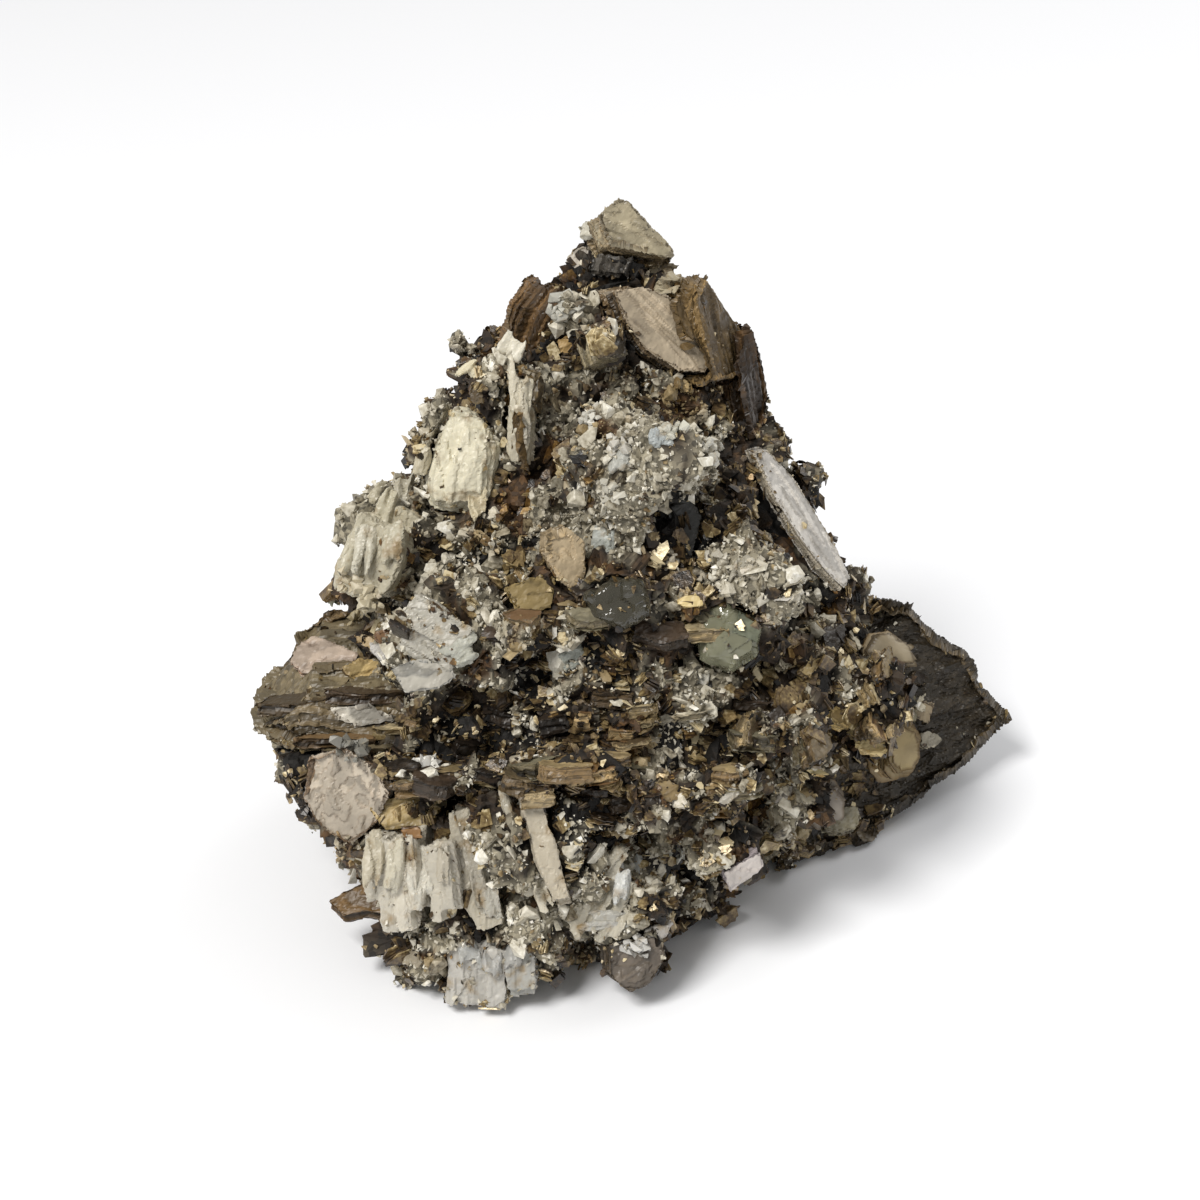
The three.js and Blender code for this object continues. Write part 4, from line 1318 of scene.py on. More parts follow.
def build_chips():
    """The small books and plates of mica that stand out on the front, each broken into tight layers."""
    draw = random.Random("chips")
    settings = bpy.context.scene.specimen_mica
    things = []
    for chip in (*CHIPS, *belt_chips()):
        point, _ = on_face("front", chip.across, chip.up)
        out = Vector(chip.face).normalized()
        across = Vector((0, 0, 1)).cross(out)
        across = across.normalized() if across.length > 0.35 else Vector((1, 0, 0))
        across = (across - out * across.dot(out)).normalized()
        up = out.cross(across)
        own, faces = ragged_prism(draw.randint(4, 7), 0.6, -0.5, 0.5, draw)
        centre = point - out * chip.thick * MM * 0.15
        scale = (across * chip.wide * MM, up * chip.high * MM, out * chip.thick * MM)
        corners = [centre + sum((axis * share for axis, share in zip(scale, p)), Vector()) for p in own]
        thing = mesh_object("chip", corners, faces)
        thing.modifiers.new("even", "REMESH").voxel_size = settings.voxel * 1.35
        mesh = applied(thing)
        pitch = draw.uniform(0.36, 0.55)
        look = Lamellae(chip.tint, chip.edge, pitch, 1.2, min(0.5 * chip.thick, 0.7), 0.5, 3.0, True)
        laminated(mesh, (centre, across, up, out), look, draw)
        things.append(thing)
    finished(joined("loose_chips", things), mica_material(), "mica")


def build_nuggets():
    """The larger white grains that stand out in the sugary feldspar."""
    points, faces, tints, tones = [], [], [], []
    draw = random.Random("nuggets")
    for nugget in NUGGETS:
        centre, _ = on_face("front", nugget.across, nugget.up)
        tilt = Vector([draw.uniform(-0.4, 0.4) for _ in range(3)])
        turn = (Vector((0, -0.87, 0.5)) + tilt).to_track_quat("Y", "Z")
        spans = (nugget.wide, nugget.deep, nugget.high)
        for _ in range(NUGGET_GRAINS):
            share = draw.uniform(0.22, 0.5)
            box = [d * MM * share for d in spans]
            own, polygons = hull(14, box, draw.random(), 0.3)
            roll = turn @ Vector([draw.uniform(-1, 1) for _ in range(3)]).to_track_quat("Z", "Y")
            aside = Vector([draw.uniform(-0.36, 0.36) * d * MM for d in spans])
            shift = centre + turn @ aside
            faces += [[i + len(points) for i in f] for f in polygons]
            points += [roll @ Vector(p) + shift for p in own]
            tints += [linear(toned_down(nugget.tint, nugget.share))] * len(own)
            tones += [draw.random()] * len(own)
    thing = mesh_object("white_nuggets", points, faces)
    store(thing.data, "tint", tints)
    store(thing.data, "sheet", tones)
    thing.data.shade_flat()
    finished(thing, feldspar_material(), "feldspar")


# ----------------------------------------------------------------------------------------------------
# Feldspar and quartz

Splint = namedtuple("Splint", "across up long wide thick lean tint")
# Place across and up from the aim, length, width and thickness in millimetres, lean to the right in
# degrees, colour.
SPLINTS = (
    Splint(-28.6, 13.8, 11.0, 2.8, 3.0, 12, "BAB4A2"),
    Splint(-31.2, 12.4, 9.5, 2.6, 3.0, 20, "B2AC98"),
    Splint(-33.8, 7.6, 9.0, 3.2, 3.4, 12, "C6C1B0"),
    Splint(-36.0, 6.6, 8.0, 1.6, 2.4, 20, "BEB8A4"),
    Splint(-29.6, 8.6, 7.5, 2.8, 3.0, 6, "B4AE9A"),
    Splint(-32.0, 16.0, 5.0, 1.8, 2.4, 35, "ACA590"),
    Splint(-25.4, 19.6, 6.5, 2.4, 2.6, 25, "B6AE98"),
    Splint(-22.4, 25.6, 6.5, 2.2, 2.4, 32, "AAA28E"),
    Splint(-17.4, 13.6, 6.5, 3.0, 2.6, -10, "B8AE94"),
    Splint(-12.0, 30.6, 12.0, 3.0, 3.0, -5, "BDB6A4"),
    Splint(-12.6, 36.0, 5.0, 4.0, 2.6, 30, "C4BFB0"),
    Splint(-18.0, 33.4, 6.5, 2.6, 2.2, 60, "C4BCA2"),
    Splint(-10.6, 25.0, 6.0, 2.0, 2.4, -12, "A8A294"),
    Splint(-32.6, -37.0, 10.0, 3.2, 3.0, -4, "B6AE9A"),
    Splint(-29.6, -38.0, 9.0, 2.2, 3.0, 4, "BEB8A6"),
    Splint(-25.6, -39.6, 10.0, 4.6, 3.6, -3, "C2BEB2"),
    Splint(-22.4, -38.4, 7.0, 2.0, 2.6, 5, "A8A192"),
    Splint(-18.4, -37.0, 15.0, 2.4, 2.6, -12, "A7A193"),
    Splint(-16.0, -43.0, 7.0, 3.0, 3.0, -14, "B0ACA0"),
    Splint(-13.2, -29.6, 10.0, 1.8, 2.2, -10, "ABA595"),
    Splint(-9.2, -40.0, 11.0, 2.2, 2.4, -18, "B6B0A0"),
    Splint(-6.4, -46.4, 6.0, 1.8, 2.2, -24, "A8A294"),
    Splint(0.4, -45.6, 9.0, 3.0, 3.0, 88, "B2B0A8"),
    Splint(3.2, -40.4, 8.0, 2.2, 2.6, 4, "BABBB8"),
    Splint(5.4, -38.6, 6.0, 1.6, 2.4, 0, "B4B6B4"),
    Splint(-19.0, -50.0, 7.0, 3.4, 3.0, -8, "A4A4A0"),
    Splint(-15.6, -52.4, 7.0, 3.0, 3.0, 8, "A09F9B"),
    Splint(-12.4, -51.6, 6.0, 3.0, 2.6, 12, "969591"),
    Splint(-26.6, -51.4, 6.0, 2.6, 2.6, 40, "A09682"),
    Splint(-20.0, -7.0, 6.0, 5.0, 2.6, 70, "A9A99E"),
    Splint(-31.6, -7.4, 5.0, 1.8, 2.0, -50, "BEBAB4"),
    Splint(-3.4, -8.4, 4.6, 3.0, 2.2, 60, "A3A79F"),
    Splint(4.0, 20.0, 6.0, 3.4, 2.4, 30, "A9A9A2"),
    Splint(9.0, 22.6, 5.4, 2.6, 2.4, -30, "A5AAAA"),
    Splint(0.6, 8.4, 7.0, 3.6, 2.6, 10, "9DA09A"),
    Splint(14.0, -11.4, 5.0, 3.6, 2.4, 30, "A9A69C"),
    Splint(20.0, 4.4, 5.6, 2.2, 2.2, 20, "ABA698"),
    Splint(18.4, -27.4, 5.0, 2.4, 2.0, 60, "A39E92"),
    Splint(27.0, -28.0, 5.0, 2.4, 2.2, 40, "9B958C"),
    Splint(8.6, -47.6, 5.0, 2.4, 2.2, 70, "A29E98"),
)

Blade = namedtuple("Blade", "tint lath inset short gap")
# Colour, then the width of the laths, how far some of them lie back, how much shorter some of them are
# and the gap between them, in millimetres.
BLADES = {
    "wedge_blade": Blade("D0CAB4", 0.8, 0.7, 1.6, 0.0),
    "shoulder_blade": Blade("B8B19C", 2.3, 2.2, 3.6, 0.35),
    "ridge_blade": Blade("B6AF9C", 1.5, 1.2, 2.6, 0.2),
    "left_long_blade": Blade("B0A998", 1.4, 0.9, 3.0, 0.0),
    "middle_long_blade": Blade("AEA593", 1.3, 0.9, 3.0, 0.0),
    "ribbed_block": Blade("BAB4A6", 2.0, 2.0, 3.2, 0.55),
    "heel_block": Blade("AEABA4", 2.4, 1.4, 2.4, 0.2),
    "small_heel_block": Blade("ACABA5", 2.0, 1.0, 1.6, 0.2),
    "waist_slab": Blade("A6A297", 3.6, 1.3, 2.6, 0.0),
    "elbow_blade": Blade("B2AC9C", 1.6, 1.0, 2.0, 0.2),
}
QUARTZ = {"green_quartz": "A3A388", "smoky_quartz": "555246"}
# Cross sections along a lath.
LATH_STATIONS = 8


def long_axis(points):
    """The direction of the greatest length of a cloud of points, and that of the next greatest."""
    _, vectors = np.linalg.eigh(np.cov((points - points.mean(0)).T))
    return Vector(vectors[:, 2]), Vector(vectors[:, 1])


def laths(points, axes, look, draw):
    """Splits a crystal, as points all over its surface, into long laths side by side with stepped ends."""
    a, b, c = (points @ np.array(axis) for axis in axes)
    cuts = [b.min()]
    while cuts[-1] < b.max():
        cuts.append(cuts[-1] + look.lath * MM * draw.uniform(0.6, 1.4))
    corners, faces = [], []
    for left, right in zip(cuts[:-1], cuts[1:]):
        strip = (b > left - 0.15 * MM) & (b < right + 0.15 * MM)
        if strip.sum() < 8:
            continue
        low = a[strip].min() + look.short * MM * draw.random() ** 2
        high = a[strip].max() - look.short * MM * draw.random() ** 2
        inset = look.inset * MM * draw.random() ** 1.5
        lean = draw.uniform(-0.25, 0.25) * MM
        first = len(corners)
        for k in range(LATH_STATIONS):
            at = low + (high - low) * k / (LATH_STATIONS - 1)
            near = strip & (np.abs(a - at) < (high - low) / LATH_STATIONS + 0.3 * MM)
            back, front = (c[near].min(), c[near].max()) if near.any() else (0.0, 0.0)
            front = max(front - inset, back + 0.5 * MM)
            sides = left + look.gap * MM / 2, right - look.gap * MM / 2
            behind = (sides[0], back), (sides[1], back)
            ahead = (sides[1] + lean, front), (sides[0] + lean, front)
            for x, y in (*behind, *ahead):
                corners.append(axes[0] * at + axes[1] * x + axes[2] * y)
        for k in range(LATH_STATIONS - 1):
            i = first + 4 * k
            faces += [[i + j, i + (j + 1) % 4, i + 4 + (j + 1) % 4, i + 4 + j] for j in range(4)]
        last = first + 4 * (LATH_STATIONS - 1)
        faces += [[first + 3, first + 2, first + 1, first], [last, last + 1, last + 2, last + 3]]
    return corners, faces, np.array(cuts)


def roughened(mesh, along, tint, tones, waviness, draw):
    """Chips and striates a crystal's faces along its length, and stores its colour."""
    settings = bpy.context.scene.specimen_feldspar
    points, normals = places(mesh), directions(mesh)
    shift = draw.uniform(0, 50)
    chips = blocks(points, settings.step, shift, (along, 0.85))
    rough = blocks(points, 3.2 * MM, shift + 3, (along, 0.8))
    height = chips[:, 0] * settings.relief + rough[:, 0] * 0.2 * MM
    pits = cloud(points, 0.7 * MM, shift, 2) * 0.12 * MM
    height += pits + cloud(points, 5.0 * MM, shift + 7, 3) * waviness * MM
    move_points(mesh, points + normals * height[:, None])
    store(mesh, "tint", np.tile(linear(tint), (len(points), 1)))
    store(mesh, "sheet", tones)
    mesh.shade_flat()


def build_splints():
    """The smaller white blades that stand in groups on the front, each a few laths grown together."""
    settings = bpy.context.scene.specimen_feldspar
    draw = random.Random("splints")
    _, right, top, ahead = camera_axes()
    things = []
    for splint in SPLINTS:
        point, _ = on_face("front", splint.across, splint.up)
        out = (right * draw.uniform(-0.3, 0.3) + top * draw.uniform(-0.1, 0.25) - ahead).normalized()
        lean = math.radians(splint.lean)
        along = top * math.cos(lean) + right * math.sin(lean)
        along = (along - out * along.dot(out)).normalized()
        axes = along.cross(out), along, out
        count = max(1, round(splint.wide / 1.3))
        points, faces = [], []
        for i in range(count):
            length = splint.long * draw.uniform(0.65, 1.0)
            wide = splint.wide / count * draw.uniform(1.0, 1.5)
            box = (wide, length, splint.thick * draw.uniform(0.6, 1.0))
            own, polygons = hull(20, box, draw.random(), 0.1)
            slid = draw.uniform(-0.5, 0.5) * (splint.long - length)
            aside = ((i + 0.5) / count - 0.5) * splint.wide, slid, 0.0
            faces += [[k + len(points) for k in f] for f in polygons]
            moved = [[a + b for a, b in zip(p, aside)] for p in own]
            points += [point + sum((x * a for x, a in zip(axes, p)), Vector()) * MM for p in moved]
        thing = mesh_object("splint", points, faces)
        thing.modifiers.new("grown", "REMESH").voxel_size = settings.voxel
        mesh = applied(thing)
        roughened(mesh, along, splint.tint, np.full(len(mesh.vertices), draw.random()), 0.12, draw)
        things.append(thing)
    finished(joined("white_splints", things), feldspar_material(), "feldspar")


def build_blade(node, look, material):
    """Rebuilds one feldspar crystal as laths grown together, with broken ends and chipped corners."""
    settings = bpy.context.scene.specimen_feldspar
    draw = random.Random(node)
    sample = remeshed("sample", node, 0.5 * MM)
    shape = places(sample.data)
    bpy.data.objects.remove(sample)
    along, beside = long_axis(shape)
    thin = along.cross(beside)
    if thin.dot(Vector(shape.mean(0)) - MIDDLE) < 0:
        thin, beside = -thin, -beside
    corners, faces, cuts = laths(shape, (along, beside, thin), look, draw)
    blade = mesh_object(node + "_crystal", corners, faces)
    blade.modifiers.new("grown", "REMESH").voxel_size = settings.voxel
    mesh = applied(blade)
    tones = np.array([draw.random() for _ in range(len(cuts) + 1)])
    lath_of = np.searchsorted(cuts, places(mesh) @ np.array(beside))
    roughened(mesh, along, look.tint, tones[lath_of], 0.45, draw)
    finished(blade, material, "feldspar", node)


def build_blades():
    """Every feldspar blade and block of the frame."""
    material = feldspar_material()
    for node, look in BLADES.items():
        build_blade(node, look, material)


def build_quartz():
    """The glassy grains, with curved chips on their faces."""
    settings = bpy.context.scene.specimen_quartz
    for node, tint in QUARTZ.items():
        grain = remeshed(node + "_glass", node, 0.4 * MM)
        mesh = grain.data
        points, normals = places(mesh), directions(mesh)
        chips = blocks(points, settings.chip, 3.0)
        soft = cloud(points, settings.chip, 8.0, 2)
        height = chips[:, 0] * settings.relief * 0.7 + soft * settings.relief
        move_points(mesh, points + normals * height[:, None])
        finished(grain, quartz_material(node, tint), "quartz", node)


# ----------------------------------------------------------------------------------------------------
# Materials


def shader(name):
    """A new material's tree, its principled shader, and the coordinates of the piece itself in metres."""
    material = bpy.data.materials.new(name)
    material.use_nodes = True
    tree = material.node_tree
    return material, tree, tree.nodes["Principled BSDF"], add(tree, "ShaderNodeTexCoord").outputs["Object"]


def matrix_material():
    """Rough intergrown rock, matte and dusty: brown, greyer under the white grains, black where the mica is
    dark and as painted shade in the hollows.
    """
    settings = bpy.context.scene.specimen_rock
    material, tree, bsdf, object_place = shader("intergrown matrix, matte")
    zone = {
        key: add(tree, "ShaderNodeAttribute", attribute_name=key).outputs["Fac"]
        for key in ("sugar", "dark", "stain")
    }
    # Grains about a millimetre wide, each a shade of its own.
    grains = add(tree, "ShaderNodeTexVoronoi", {"Vector": object_place, "Scale": 1 / (0.8 * MM)})
    shade = add(
        tree, "ShaderNodeMapRange", {"Value": grains.outputs["Color"], "To Min": 0.15, "To Max": 1.6}
    )
    ground = add(
        tree, "ShaderNodeMix", {"Factor": zone["sugar"], 6: (*settings.brown, 1), 7: (*settings.grey, 1)},
        data_type="RGBA",
    )
    rusty = add(
        tree, "ShaderNodeMix", {"Factor": zone["stain"], 6: ground.outputs[2], 7: (*settings.rust, 1)},
        data_type="RGBA",
    )
    # Near black where the zone is dark: dark mica, and painted shade in the hollows.
    deep = add(
        tree, "ShaderNodeMix", {"Factor": zone["dark"], 6: rusty.outputs[2], 7: (*settings.black, 1)},
        data_type="RGBA",
    )
    speckled = add(
        tree, "ShaderNodeVectorMath", {0: deep.outputs[2], "Scale": shade.outputs[0]}, operation="SCALE"
    )
    tree.links.new(speckled.outputs[0], bsdf.inputs["Base Color"])
    # Grit a third of a millimetre wide.
    grit = add(tree, "ShaderNodeTexNoise", {"Vector": object_place, "Scale": 1 / (0.35 * MM), "Detail": 2.0})
    bump = add(tree, "ShaderNodeBump", {"Height": grit.outputs["Fac"], "Distance": 0.2 * MM, "Strength": 0.6})
    tree.links.new(bump.outputs[0], bsdf.inputs["Normal"])
    bsdf.inputs["Roughness"].default_value = 0.75
    return material


def toned_material(name, stops, rusted, roughness, clumping):
    """A material for many small pieces, each with its own colour from a ramp, and some iron stained."""
    material, tree, bsdf, object_place = shader(name)
    tone = add(tree, "ShaderNodeAttribute", attribute_name="tone").outputs["Fac"]
    sheet = add(tree, "ShaderNodeAttribute", attribute_name="sheet").outputs["Fac"]
    stain = add(tree, "ShaderNodeAttribute", attribute_name="stain").outputs["Fac"]
    wash = add(tree, "ShaderNodeTexNoise", {"Vector": object_place, "Scale": 1 / (0.6 * MM), "Detail": 3.0})
    drift = add(tree, "ShaderNodeMath", {0: wash.outputs["Fac"], 1: 1.0, 2: -0.5}, operation="MULTIPLY_ADD")
    spread = add(tree, "ShaderNodeMath", {0: sheet, 1: 0.5, 2: -0.25}, operation="MULTIPLY_ADD")
    # Clumps a few millimetres wide that are lighter or darker all together.
    clump = add(tree, "ShaderNodeTexNoise", {"Vector": object_place, "Scale": 1 / (4.5 * MM), "Detail": 2.0})
    inputs = {0: clump.outputs["Fac"], 1: clumping, 2: -clumping / 2}
    share = add(tree, "ShaderNodeMath", inputs, operation="MULTIPLY_ADD")
    own = add(tree, "ShaderNodeMath", {0: tone, 1: 0.7, 2: 0.15}, operation="MULTIPLY_ADD")
    moved = add(tree, "ShaderNodeMath", {0: own.outputs[0], 1: drift.outputs[0]}, operation="ADD")
    shared = add(tree, "ShaderNodeMath", {0: moved.outputs[0], 1: share.outputs[0]}, operation="ADD")
    place = add(tree, "ShaderNodeMath", {0: shared.outputs[0], 1: spread.outputs[0]}, operation="ADD")
    ramp = add(tree, "ShaderNodeValToRGB", {"Fac": place.outputs[0]}, stops=stops)
    rust = add(
        tree, "ShaderNodeMix",
        {"Factor": stain, 6: ramp.outputs[0], 7: (*linear(rusted), 1)}, data_type="RGBA",
        blend_type="MULTIPLY",
    )
    tree.links.new(rust.outputs[2], bsdf.inputs["Base Color"])
    ripple = add(tree, "ShaderNodeTexNoise", {"Vector": object_place, "Scale": 1 / (0.4 * MM), "Detail": 3.0})
    inputs = {"Height": ripple.outputs["Fac"], "Distance": 0.15 * MM, "Strength": 0.6}
    bump = add(tree, "ShaderNodeBump", inputs)
    tree.links.new(bump.outputs[0], bsdf.inputs["Normal"])
    bsdf.inputs["Roughness"].default_value = roughness
    return material, bsdf


@functools.lru_cache(maxsize=None)
def sugar_material():
    """Sugary albite: milky broken grains with a satin shine, from bluish grey to warm white."""
    stops = (
        (0.0, "332C22"), (0.16, "7A7260"), (0.36, "A69F8D"), (0.66, "C4BEAE"),
        (0.9, "DAD6C9"), (1.0, "EEEBE3"),
    )
    material, bsdf = toned_material("sugary albite, broken", stops, "CDBB9A", 0.42, 1.0)
    bsdf.inputs["Specular IOR Level"].default_value = 0.5
    return material


@functools.lru_cache(maxsize=None)
def crumb_material():
    """Crumbled feldspar and mica with iron between the grains: brown and beige, some pale, mostly matte."""
    stops = ((0.0, "0E0905"), (0.3, "3E3020"), (0.55, "746142"), (0.8, "A7946F"), (1.0, "D8CCAE"))
    return toned_material("iron-stained crumbs", stops, "CDB08A", 0.55, 1.6)[0]


@functools.lru_cache(maxsize=None)
def flake_material():
    """Small muscovite and biotite flakes: thin, springy and pearly, from near black to pale gold."""
    stops = (
        (0.0, "0C0805"), (0.25, "2F2418"), (0.5, "5B4A32"), (0.75, "8B7852"),
        (0.92, "B4A27A"), (1.0, "DACBA6"),
    )
    material, bsdf = toned_material("loose mica flakes, pearly", stops, "CDB590", 0.34, 1.6)
    bsdf.inputs["Metallic"].default_value = 0.15
    bsdf.inputs["Specular IOR Level"].default_value = 0.65
    return material


def sheet_material(name, low, high, roughness):
    """Mica in sheets: cloudy soft patches on the cleavage face and fine striae along the edges."""
    settings = bpy.context.scene.specimen_mica
    material, tree, bsdf, object_place = shader(name)
    tint = add(tree, "ShaderNodeAttribute", attribute_name="tint").outputs["Vector"]
    sheet = add(tree, "ShaderNodeAttribute", attribute_name="sheet").outputs["Fac"]
    edge = add(tree, "ShaderNodeAttribute", attribute_name="edge").outputs["Fac"]
    depth = add(tree, "ShaderNodeAttribute", attribute_name="depth").outputs["Fac"]
    cloudy = add(
        tree, "ShaderNodeTexNoise", {"Vector": object_place, "Scale": 1 / settings.blotch, "Detail": 4.0}
    )
    soft = add(tree, "ShaderNodeMapRange", {"Value": cloudy.outputs["Fac"], "From Min": 0.3, "From Max": 0.7,
                                            "To Min": low, "To Max": high})
    own = add(tree, "ShaderNodeMapRange", {"Value": sheet, "To Min": 0.25, "To Max": 1.9})
    layer = add(tree, "ShaderNodeMapRange", {"Value": sheet, "To Min": 0.62, "To Max": 1.3})
    face = add(tree, "ShaderNodeMath", {0: soft.outputs[0], 1: layer.outputs[0]}, operation="MULTIPLY")
    lines = add(
        tree, "ShaderNodeTexNoise", {"W": depth, "Scale": MM / settings.striae, "Detail": 1.0},
        noise_dimensions="1D",
    )
    fine = add(tree, "ShaderNodeMapRange", {"Value": lines.outputs["Fac"], "From Min": 0.35, "From Max": 0.65,
                                            "To Min": 0.5, "To Max": 1.4})
    striped = add(tree, "ShaderNodeMath", {0: own.outputs[0], 1: fine.outputs[0]}, operation="MULTIPLY")
    rim = add(
        tree, "ShaderNodeMix", {"Factor": edge, 2: face.outputs[0], 3: striped.outputs[0]}, data_type="FLOAT"
    )
    toned = add(tree, "ShaderNodeVectorMath", {0: tint, "Scale": rim.outputs[0]}, operation="SCALE")
    tree.links.new(toned.outputs[0], bsdf.inputs["Base Color"])
    ripple = add(tree, "ShaderNodeTexNoise", {"Vector": object_place, "Scale": 1 / (0.7 * MM), "Detail": 3.0})
    inputs = {"Height": ripple.outputs["Fac"], "Distance": 0.1 * MM, "Strength": 0.35}
    bump = add(tree, "ShaderNodeBump", inputs)
    tree.links.new(bump.outputs[0], bsdf.inputs["Normal"])
    bsdf.inputs["Roughness"].default_value = roughness
    bsdf.inputs["Specular IOR Level"].default_value = 0.45
    return material


@functools.lru_cache(maxsize=None)
def mica_material():
    """Muscovite, cleaved: pearly and smooth on the face, striped on the edge."""
    return sheet_material("muscovite books, cleaved", 0.78, 1.14, 0.42)


@functools.lru_cache(maxsize=None)
def biotite_material():
    """Biotite, cleaved: dark and glossy with a soft bloom, brown where the edges are thin."""
    return sheet_material("biotite books, cleaved", 0.7, 1.4, 0.42)


@functools.lru_cache(maxsize=None)
def feldspar_material():
    """Milky feldspar: satin cleavage faces that let a little light in, with faint brown veins."""
    material, tree, bsdf, object_place = shader("milky feldspar, cleaved")
    tint = add(tree, "ShaderNodeAttribute", attribute_name="tint").outputs["Vector"]
    sheet = add(tree, "ShaderNodeAttribute", attribute_name="sheet").outputs["Fac"]
    own = add(tree, "ShaderNodeMapRange", {"Value": sheet, "To Min": 0.8, "To Max": 1.08})
    toned = add(tree, "ShaderNodeVectorMath", {0: tint, "Scale": own.outputs[0]}, operation="SCALE")
    # Stain in patches a few millimetres wide.
    seep = add(tree, "ShaderNodeTexNoise", {"Vector": object_place, "Scale": 1 / (3.0 * MM), "Detail": 5.0})
    inputs = {"Value": seep.outputs["Fac"], "From Min": 0.56, "From Max": 0.72}
    veins = add(tree, "ShaderNodeMapRange", inputs)
    stained = add(
        tree, "ShaderNodeMix", {"Factor": veins.outputs[0], 6: toned.outputs[0], 7: (*linear("8C7A5C"), 1)},
        data_type="RGBA",
    )
    tree.links.new(stained.outputs[2], bsdf.inputs["Base Color"])
    bsdf.inputs["Roughness"].default_value = 0.4
    bsdf.inputs["Subsurface Weight"].default_value = 0.2
    bsdf.inputs["Subsurface Radius"].default_value = (1.0, 0.9, 0.75)
    bsdf.inputs["Subsurface Scale"].default_value = 0.8 * MM
    return material


def quartz_material(node, tint):
    """Smoky quartz, broken: glassy and see-through."""
    material, tree, bsdf, object_place = shader(node.replace("_", " ") + ", glassy")
    haze = add(tree, "ShaderNodeTexNoise", {"Vector": object_place, "Scale": 1 / (2.5 * MM), "Detail": 3.0})
    bump = add(tree, "ShaderNodeBump", {"Height": haze.outputs["Fac"], "Distance": 0.3 * MM, "Strength": 0.3})
    tree.links.new(bump.outputs[0], bsdf.inputs["Normal"])
    bsdf.inputs["Base Color"].default_value = (*linear(tint), 1)
    bsdf.inputs["Roughness"].default_value = 0.12
    bsdf.inputs["IOR"].default_value = 1.54
    bsdf.inputs["Transmission Weight"].default_value = 0.55
    return material


# ----------------------------------------------------------------------------------------------------
# Stage


def build_stage():
    """A plain pale floor, a large soft light, a weaker one behind and the camera."""
    settings = bpy.context.scene.specimen_stage
    scene = bpy.context.scene
    reach = 3.0
    floor = mesh_object(
        "floor",
        [(-reach, -reach, 0), (reach, -reach, 0), (reach, reach, 0), (-reach, reach, 0)],
        [(0, 1, 2, 3)],
    )
    material, _, bsdf, _ = shader("pale floor, matte paper")
    bsdf.inputs["Base Color"].default_value = (*settings.floor, 1)
    bsdf.inputs["Roughness"].default_value = 0.9
    floor.data.materials.append(material)

    scene.world = bpy.data.worlds.new("soft studio")
    scene.world.use_nodes = True
    background = scene.world.node_tree.nodes["Background"]
    background.inputs["Color"].default_value = (1.0, 0.985, 0.95, 1)
    background.inputs["Strength"].default_value = settings.sky
    scene.view_settings.view_transform = "Standard"

    lamps = (
        ("key", (-0.45, -0.55, 0.95), 0.4, settings.key, (1.0, 0.975, 0.93)),
        ("rim", (0.60, 0.40, 0.70), 0.5, settings.rim, (1.0, 0.99, 0.97)),
    )
    for name, place, size, power, tint in lamps:
        light = bpy.data.lights.new(name, "AREA")
        light.size = size
        light.energy = power
        light.color = tint
        lamp = bpy.data.objects.new(name, light)
        lamp.location = Vector(place)
        lamp.rotation_mode = "QUATERNION"
        lamp.rotation_quaternion = (AIM - lamp.location).to_track_quat("-Z", "Y")
        scene.collection.objects.link(lamp)

    eye, _, _, ahead = camera_axes()
    lens = bpy.data.cameras.new("camera")
    lens.lens = settings.lens
    lens.sensor_width = 36
    lens.clip_start, lens.clip_end = 0.01, 20
    camera = bpy.data.objects.new("camera", lens)
    camera.location = eye
    camera.rotation_mode = "QUATERNION"
    camera.rotation_quaternion = ahead.to_track_quat("-Z", "Y")
    scene.collection.objects.link(camera)
    scene.camera = camera


# ----------------------------------------------------------------------------------------------------
# Operators and panel


class BuildRock(bpy.types.Operator):
    """Builds the rough matrix"""

    bl_idname = "specimen.rock"
    bl_label = "Matrix"

    def execute(self, context):
        build_rock()
        return {"FINISHED"}


class BuildBooks(bpy.types.Operator):
    """Builds the books and plates of mica"""

    bl_idname = "specimen.books"
    bl_label = "Mica books"

    def execute(self, context):
        build_books()
        return {"FINISHED"}


class BuildChips(bpy.types.Operator):
    """Builds the loose plates that stand out on the front"""

    bl_idname = "specimen.chips"
    bl_label = "Loose plates"

    def execute(self, context):
        build_chips()
        return {"FINISHED"}


class BuildSplints(bpy.types.Operator):
    """Builds the smaller white blades in their groups"""

    bl_idname = "specimen.splints"
    bl_label = "White splints"

    def execute(self, context):
        build_splints()
        return {"FINISHED"}


class BuildNuggets(bpy.types.Operator):
    """Builds the larger white grains"""

    bl_idname = "specimen.nuggets"
    bl_label = "White nuggets"

    def execute(self, context):
        build_nuggets()
        return {"FINISHED"}


class BuildBlades(bpy.types.Operator):
    """Builds the feldspar blades and blocks"""

    bl_idname = "specimen.blades"
    bl_label = "Feldspar blades"

    def execute(self, context):
        build_blades()
        return {"FINISHED"}


class BuildQuartz(bpy.types.Operator):
    """Builds the glassy quartz grains"""

    bl_idname = "specimen.quartz"
    bl_label = "Quartz grains"

    def execute(self, context):
        build_quartz()
        return {"FINISHED"}


class BuildGrains(bpy.types.Operator):
    """Spreads the feldspar grains, lumps, tablets and the brown crumbs"""

    bl_idname = "specimen.grains"
    bl_label = "Grains"

    def execute(self, context):
        build_grains()
        return {"FINISHED"}


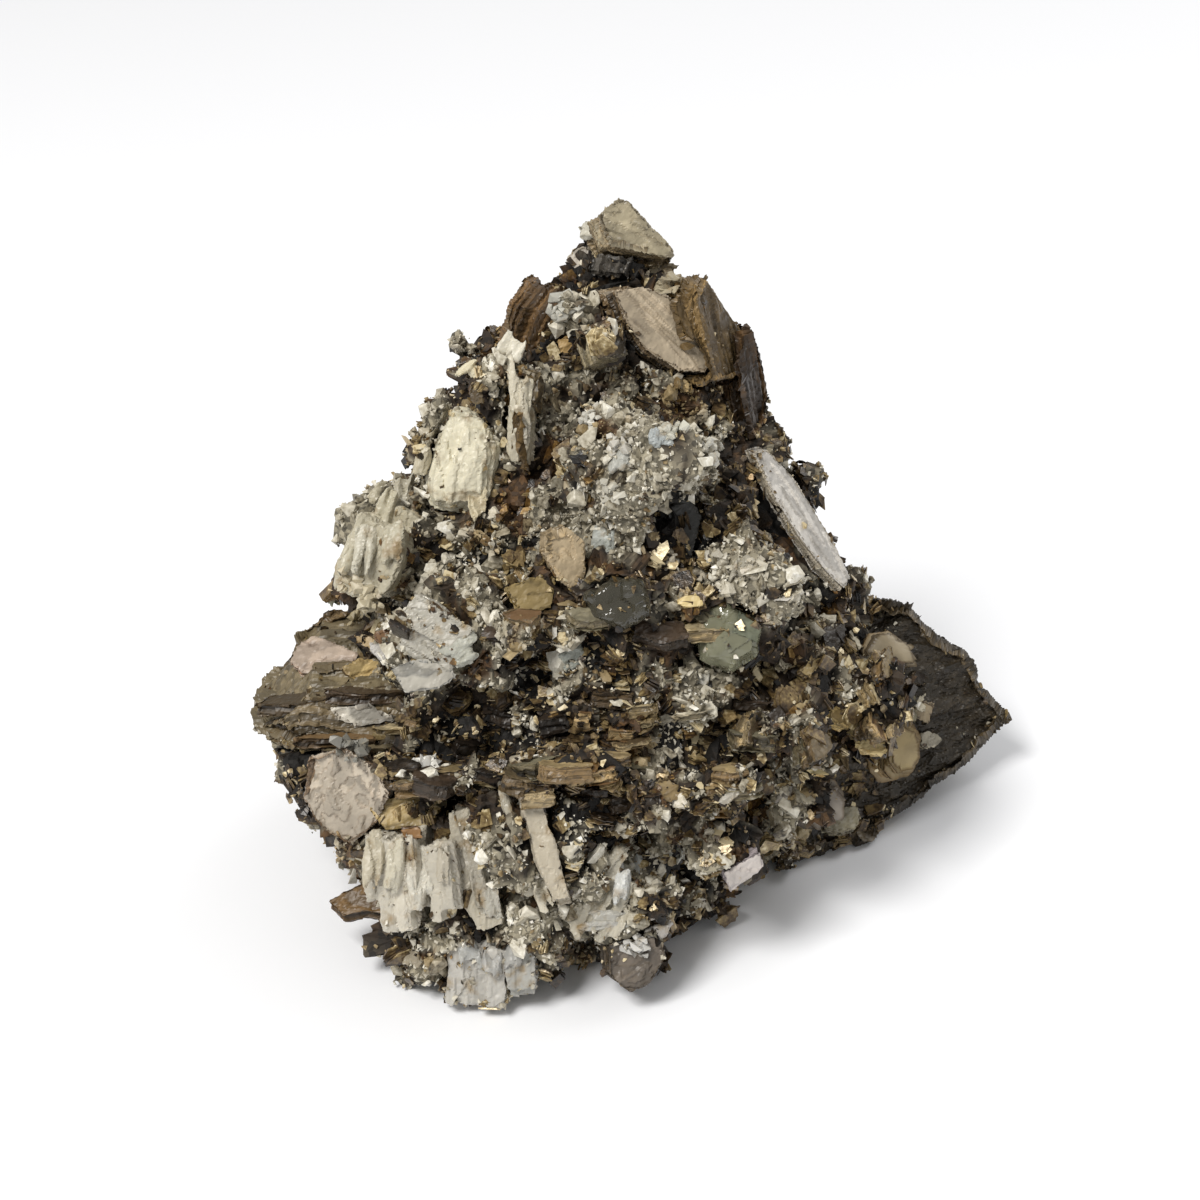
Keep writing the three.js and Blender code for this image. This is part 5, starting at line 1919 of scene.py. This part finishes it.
class BuildFlakes(bpy.types.Operator):
    """Spreads the mica flakes and small books"""

    bl_idname = "specimen.flakes"
    bl_label = "Flakes"

    def execute(self, context):
        build_flakes()
        return {"FINISHED"}


class BuildCrust(bpy.types.Operator):
    """Spreads the crust on the rims of the large crystals"""

    bl_idname = "specimen.crust"
    bl_label = "Crust"

    def execute(self, context):
        build_crust()
        return {"FINISHED"}


class BuildStage(bpy.types.Operator):
    """Adds the floor, the lights and the camera"""

    bl_idname = "specimen.stage"
    bl_label = "Stage"

    def execute(self, context):
        build_stage()
        return {"FINISHED"}


OPERATORS = (
    BuildRock, BuildBooks, BuildBlades, BuildQuartz, BuildSplints, BuildChips, BuildNuggets, BuildGrains,
    BuildFlakes, BuildCrust, BuildStage,
)


class SpecimenPanel(bpy.types.Panel):
    """Lists the steps that build the specimen, and their settings"""

    bl_idname = "VIEW3D_PT_specimen"
    bl_label = "Mica specimen"
    bl_space_type = "VIEW_3D"
    bl_region_type = "UI"
    bl_category = "Specimen"

    def draw(self, context):
        for operator in OPERATORS:
            self.layout.operator(operator.bl_idname)
        for key, group in SETTINGS.items():
            box = self.layout.box()
            for name in group.__annotations__:
                box.prop(getattr(context.scene, key), name)


def register():
    for group in SETTINGS.values():
        bpy.utils.register_class(group)
    for operator in OPERATORS:
        bpy.utils.register_class(operator)
    bpy.utils.register_class(SpecimenPanel)
    for key, group in SETTINGS.items():
        setattr(bpy.types.Scene, key, PointerProperty(type=group))


def unregister():
    for key in SETTINGS:
        delattr(bpy.types.Scene, key)
    bpy.utils.unregister_class(SpecimenPanel)
    for operator in reversed(OPERATORS):
        bpy.utils.unregister_class(operator)
    for group in reversed(SETTINGS.values()):
        bpy.utils.unregister_class(group)


def main():
    """Builds the specimen piece by piece."""
    register()
    bpy.ops.specimen.rock()
    bpy.ops.specimen.books()
    bpy.ops.specimen.blades()
    bpy.ops.specimen.quartz()
    bpy.ops.specimen.splints()
    bpy.ops.specimen.chips()
    bpy.ops.specimen.nuggets()
    bpy.ops.specimen.grains()
    bpy.ops.specimen.flakes()
    bpy.ops.specimen.crust()
    bpy.ops.specimen.stage()


if __name__ == "__main__":
    main()
